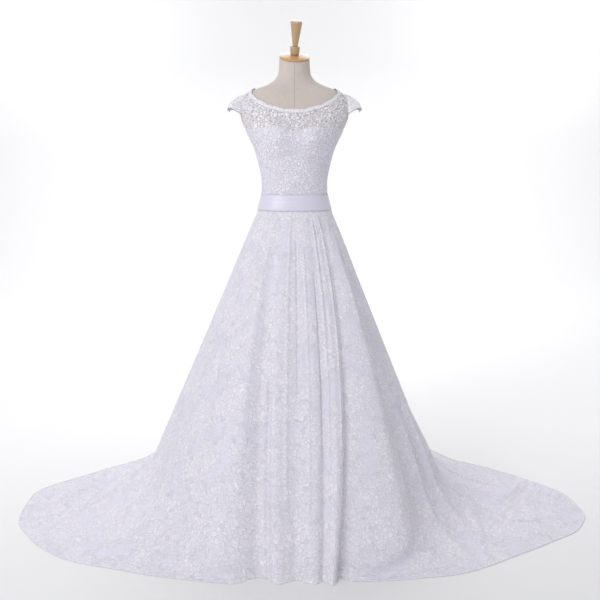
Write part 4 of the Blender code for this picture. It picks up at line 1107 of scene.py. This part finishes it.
def skirt_column(angle, shares, top_out, ease, creased):
    """One column of the skirt from the waist seam to the hem."""
    start, below, hem_azimuth = fall_line(angle)
    lengths = np.concatenate([[0], np.cumsum(np.linalg.norm(np.diff(below, axis=0), axis=1))])
    radius = np.interp(shares * lengths[-1], lengths, below[:, 0])
    height = np.interp(shares * lengths[-1], lengths, below[:, 1])
    low, high = np.maximum(shares - 0.01, 0), np.minimum(shares + 0.01, 1)
    run_out = np.interp(high * lengths[-1], lengths, below[:, 0]) - np.interp(low * lengths[-1], lengths, below[:, 0])
    run_up = np.interp(high * lengths[-1], lengths, below[:, 1]) - np.interp(low * lengths[-1], lengths, below[:, 1])
    straight = (below[1, 0] - below[0, 0]) / (lengths[1] - lengths[0])
    flat = np.clip((run_out / np.hypot(run_out, run_up) - straight) / (1 - straight), 0, 1)
    waist = body_skin(np.array(float(angle)), np.array(WAIST_SEAM))
    top_azimuth = math.degrees(math.atan2(waist[0], -waist[1]))
    if angle > 170 and top_azimuth < 0:
        top_azimuth += 360
    if angle < -170 and top_azimuth > 0:
        top_azimuth -= 360
    azimuth = np.radians(top_azimuth + (hem_azimuth - top_azimuth) * shares ** PATH_POWER)
    depth = shares * sum(fold.depth * bump((angle - fold.waist_angle) / fold.half_width) for fold in FOLDS)
    if creased:
        for crease in CREASES:
            window = ease_between(crease.start - 0.02, crease.start + 0.04, shares)
            window = window * (1 - ease_between(crease.end - 0.15, crease.end, shares))
            depth = depth + crease.depth * window * bump((angle - crease.angle) / crease.half_width)
        for edge in PANEL_EDGES:
            away = angle - edge.angle
            width = edge.before if away < 0 else edge.after
            window = ease_between(edge.start, edge.start + 0.25, shares)
            depth = depth + edge.depth * window * math.exp(-(math.hypot(away, 0.5) - 0.5) / width)
    out = top_out - ease * shares
    tilt = WALL_TILT + flat * (math.pi / 2 - WALL_TILT)
    radius = radius + depth * (1 - flat) + out * np.cos(tilt)
    height = height + np.maximum(out, 0 if creased else -1) * np.sin(tilt)
    if creased:
        fade = np.minimum(1, RIDGE_FADE * (1 - shares))
        lift = LINING_LIFT * (1 - ease_between(LINING_LIFT_END - 0.02, 1.0, shares))
        height = height + flat * (np.maximum(depth, 0) * fade * RIDGE_ON_FLOOR + lift)
        height = height + flat * ripple_height(angle, shares, below[-1, 0])
        height = np.maximum(height, 0.0012)
    else:
        height = np.maximum(height, 0.0005)
    points = np.stack([radius * np.sin(azimuth), -radius * np.cos(azimuth), height], axis=1)
    turn = math.radians(top_azimuth)
    wide = start[0] + top_out
    return np.concatenate([[(wide * math.sin(turn), -wide * math.cos(turn), start[1])], points])


def gore_grid(start, end, spacing, shares, top_out, ease, creased):
    count = math.ceil((end - start) / spacing)
    angles = steps_between(start, end, count)
    grid = np.array([skirt_column(angle, shares, top_out, ease, creased) for angle in angles])
    for edge, beside in ((0, 1), (-1, -2)):
        way = grid[beside] - grid[edge]
        grid[edge] += way / np.linalg.norm(way, axis=1, keepdims=True) * SEAM_GAP * 0.5
    return grid


def make_skirt():
    shares = np.concatenate([steps_between(0, 0.70, 84)[:-1], steps_between(0.70, 1.0, 76)])
    for piece in LINING_GORES:
        rows = shares[shares <= LINING_END][::2]
        grid = gore_grid(piece.start, piece.end, 1.0, rows, LINING_MIDDLE, LINING_EASE, False)
        lining = loft(piece.name + "_cloth", grid[:, ::-1], unrolled(grid)[:, ::-1], SATIN, "satin", [piece.name])
        declare(lining)
    for piece in LACE_GORES:
        grid = gore_grid(piece.start, piece.end, 0.45, shares, LACE_MIDDLE, 0.0, True)
        lace = loft(piece.name + "_cloth", grid[:, ::-1], unrolled(grid)[:, ::-1], LACE, "lace", [piece.name])
        hem = tube(piece.name + "_hem", grid[:, -1] + np.array((0, 0, 0.0003)), 0.0014, EDGING, "lace")
        declare(lace)


# Room, light and camera


WALL = 5.8
SWEEP_RADIUS = 1.6


def make_room():
    """A pale floor that sweeps up into the wall behind, with painted light: greyer towards the front, paler behind."""
    sweep = WALL - SWEEP_RADIUS
    profile = [(-9.0, 0.0), (sweep, 0.0)]
    for turn in np.linspace(0.05, math.pi / 2, 24):
        profile.append((sweep + SWEEP_RADIUS * math.sin(turn), SWEEP_RADIUS * (1 - math.cos(turn))))
    profile.append((WALL, 8.0))
    points = [(x, y, z) for x in (-9.0, 9.0) for y, z in profile]
    count = len(profile)
    faces = [(k, count + k, count + k + 1, k + 1) for k in range(count - 1)]
    mesh = bpy.data.meshes.new("room")
    mesh.from_pydata(points, [], faces)
    mesh.shade_smooth()
    room = bpy.data.objects.new("room", mesh)
    bpy.context.scene.collection.objects.link(room)
    tree = Tree("room_paint_with_painted_falloff")
    depth = tree.split(tree.place())[1]
    speck = tree.noise(tree.place(), 3.0, 2.0) * 0.06
    # Painted light: the paint is greyer in front and paler behind, standing in for light that falls off towards the
    # camera; the specks are the paint's own uneven tone.
    tree.set(Base_Color=tree.mix(tree.step(-1.1, 0.9, depth) + speck, (0.71, 0.71, 0.725, 1), (0.88, 0.88, 0.89, 1)))
    tree.set(Roughness=0.8)
    tree.set(Specular_IOR_Level=0.15)
    mesh.materials.append(tree.material)


def add_light(name, place, target, size, energy, colour=(1, 1, 1)):
    data = bpy.data.lights.new(name, "AREA")
    data.shape = "RECTANGLE"
    data.size, data.size_y = size
    data.energy = energy
    data.color = colour
    light = bpy.data.objects.new(name, data)
    light.location = place
    light.rotation_euler = (Vector(target) - Vector(place)).to_track_quat("-Z", "Y").to_euler()
    bpy.context.scene.collection.objects.link(light)


Lamp = namedtuple("Lamp", "name place target size power")
LAMPS = [
    Lamp("key", (-3.0, -3.2, 3.0), (0, 0, 0.9), 2.4, 80),
    Lamp("front", (-0.5, -4.2, 3.6), (0, 0, 0.8), 2.0, 24),
    Lamp("wall_left", (-3.2, WALL - 2.0, 3.6), (-1.6, WALL, 1.4), 2.0, 32),
    Lamp("wall_right", (3.2, WALL - 2.0, 3.6), (1.6, WALL, 1.4), 2.0, 35),
    Lamp("floor_behind", (0, 2.8, 3.4), (0, 1.8, 0), 2.8, 52),
]
WORLD_STRENGTH = 0.665


def make_light():
    world = bpy.data.worlds.new("studio")
    world.use_nodes = True
    back = world.node_tree.nodes["Background"]
    back.inputs["Color"].default_value = (1, 1, 1, 1)
    back.inputs["Strength"].default_value = WORLD_STRENGTH
    bpy.context.scene.world = world
    for lamp in LAMPS:
        add_light(lamp.name, lamp.place, lamp.target, (lamp.size, lamp.size), lamp.power)


def make_camera():
    data = bpy.data.cameras.new("camera")
    data.sensor_width = 36.0
    data.lens = 36.0 * 662.9 / 600
    data.shift_x = 0.0092
    data.shift_y = -0.141
    data.clip_end = 60
    camera = bpy.data.objects.new("camera", data)
    camera.location = (0, -2.5, 1.25)
    camera.rotation_euler = (math.radians(90 - 4.13), 0, 0)
    bpy.context.scene.collection.objects.link(camera)
    bpy.context.scene.camera = camera


make_form()
make_wood_fittings()
paint_stand()
PANELS = make_bodice()
make_trims()
make_sleeves()
make_belt()
make_closure()
make_skirt()
for panel in PANELS.values():
    declare(panel)
make_room()
make_light()
make_camera()
bpy.context.scene.view_settings.view_transform = "Standard"
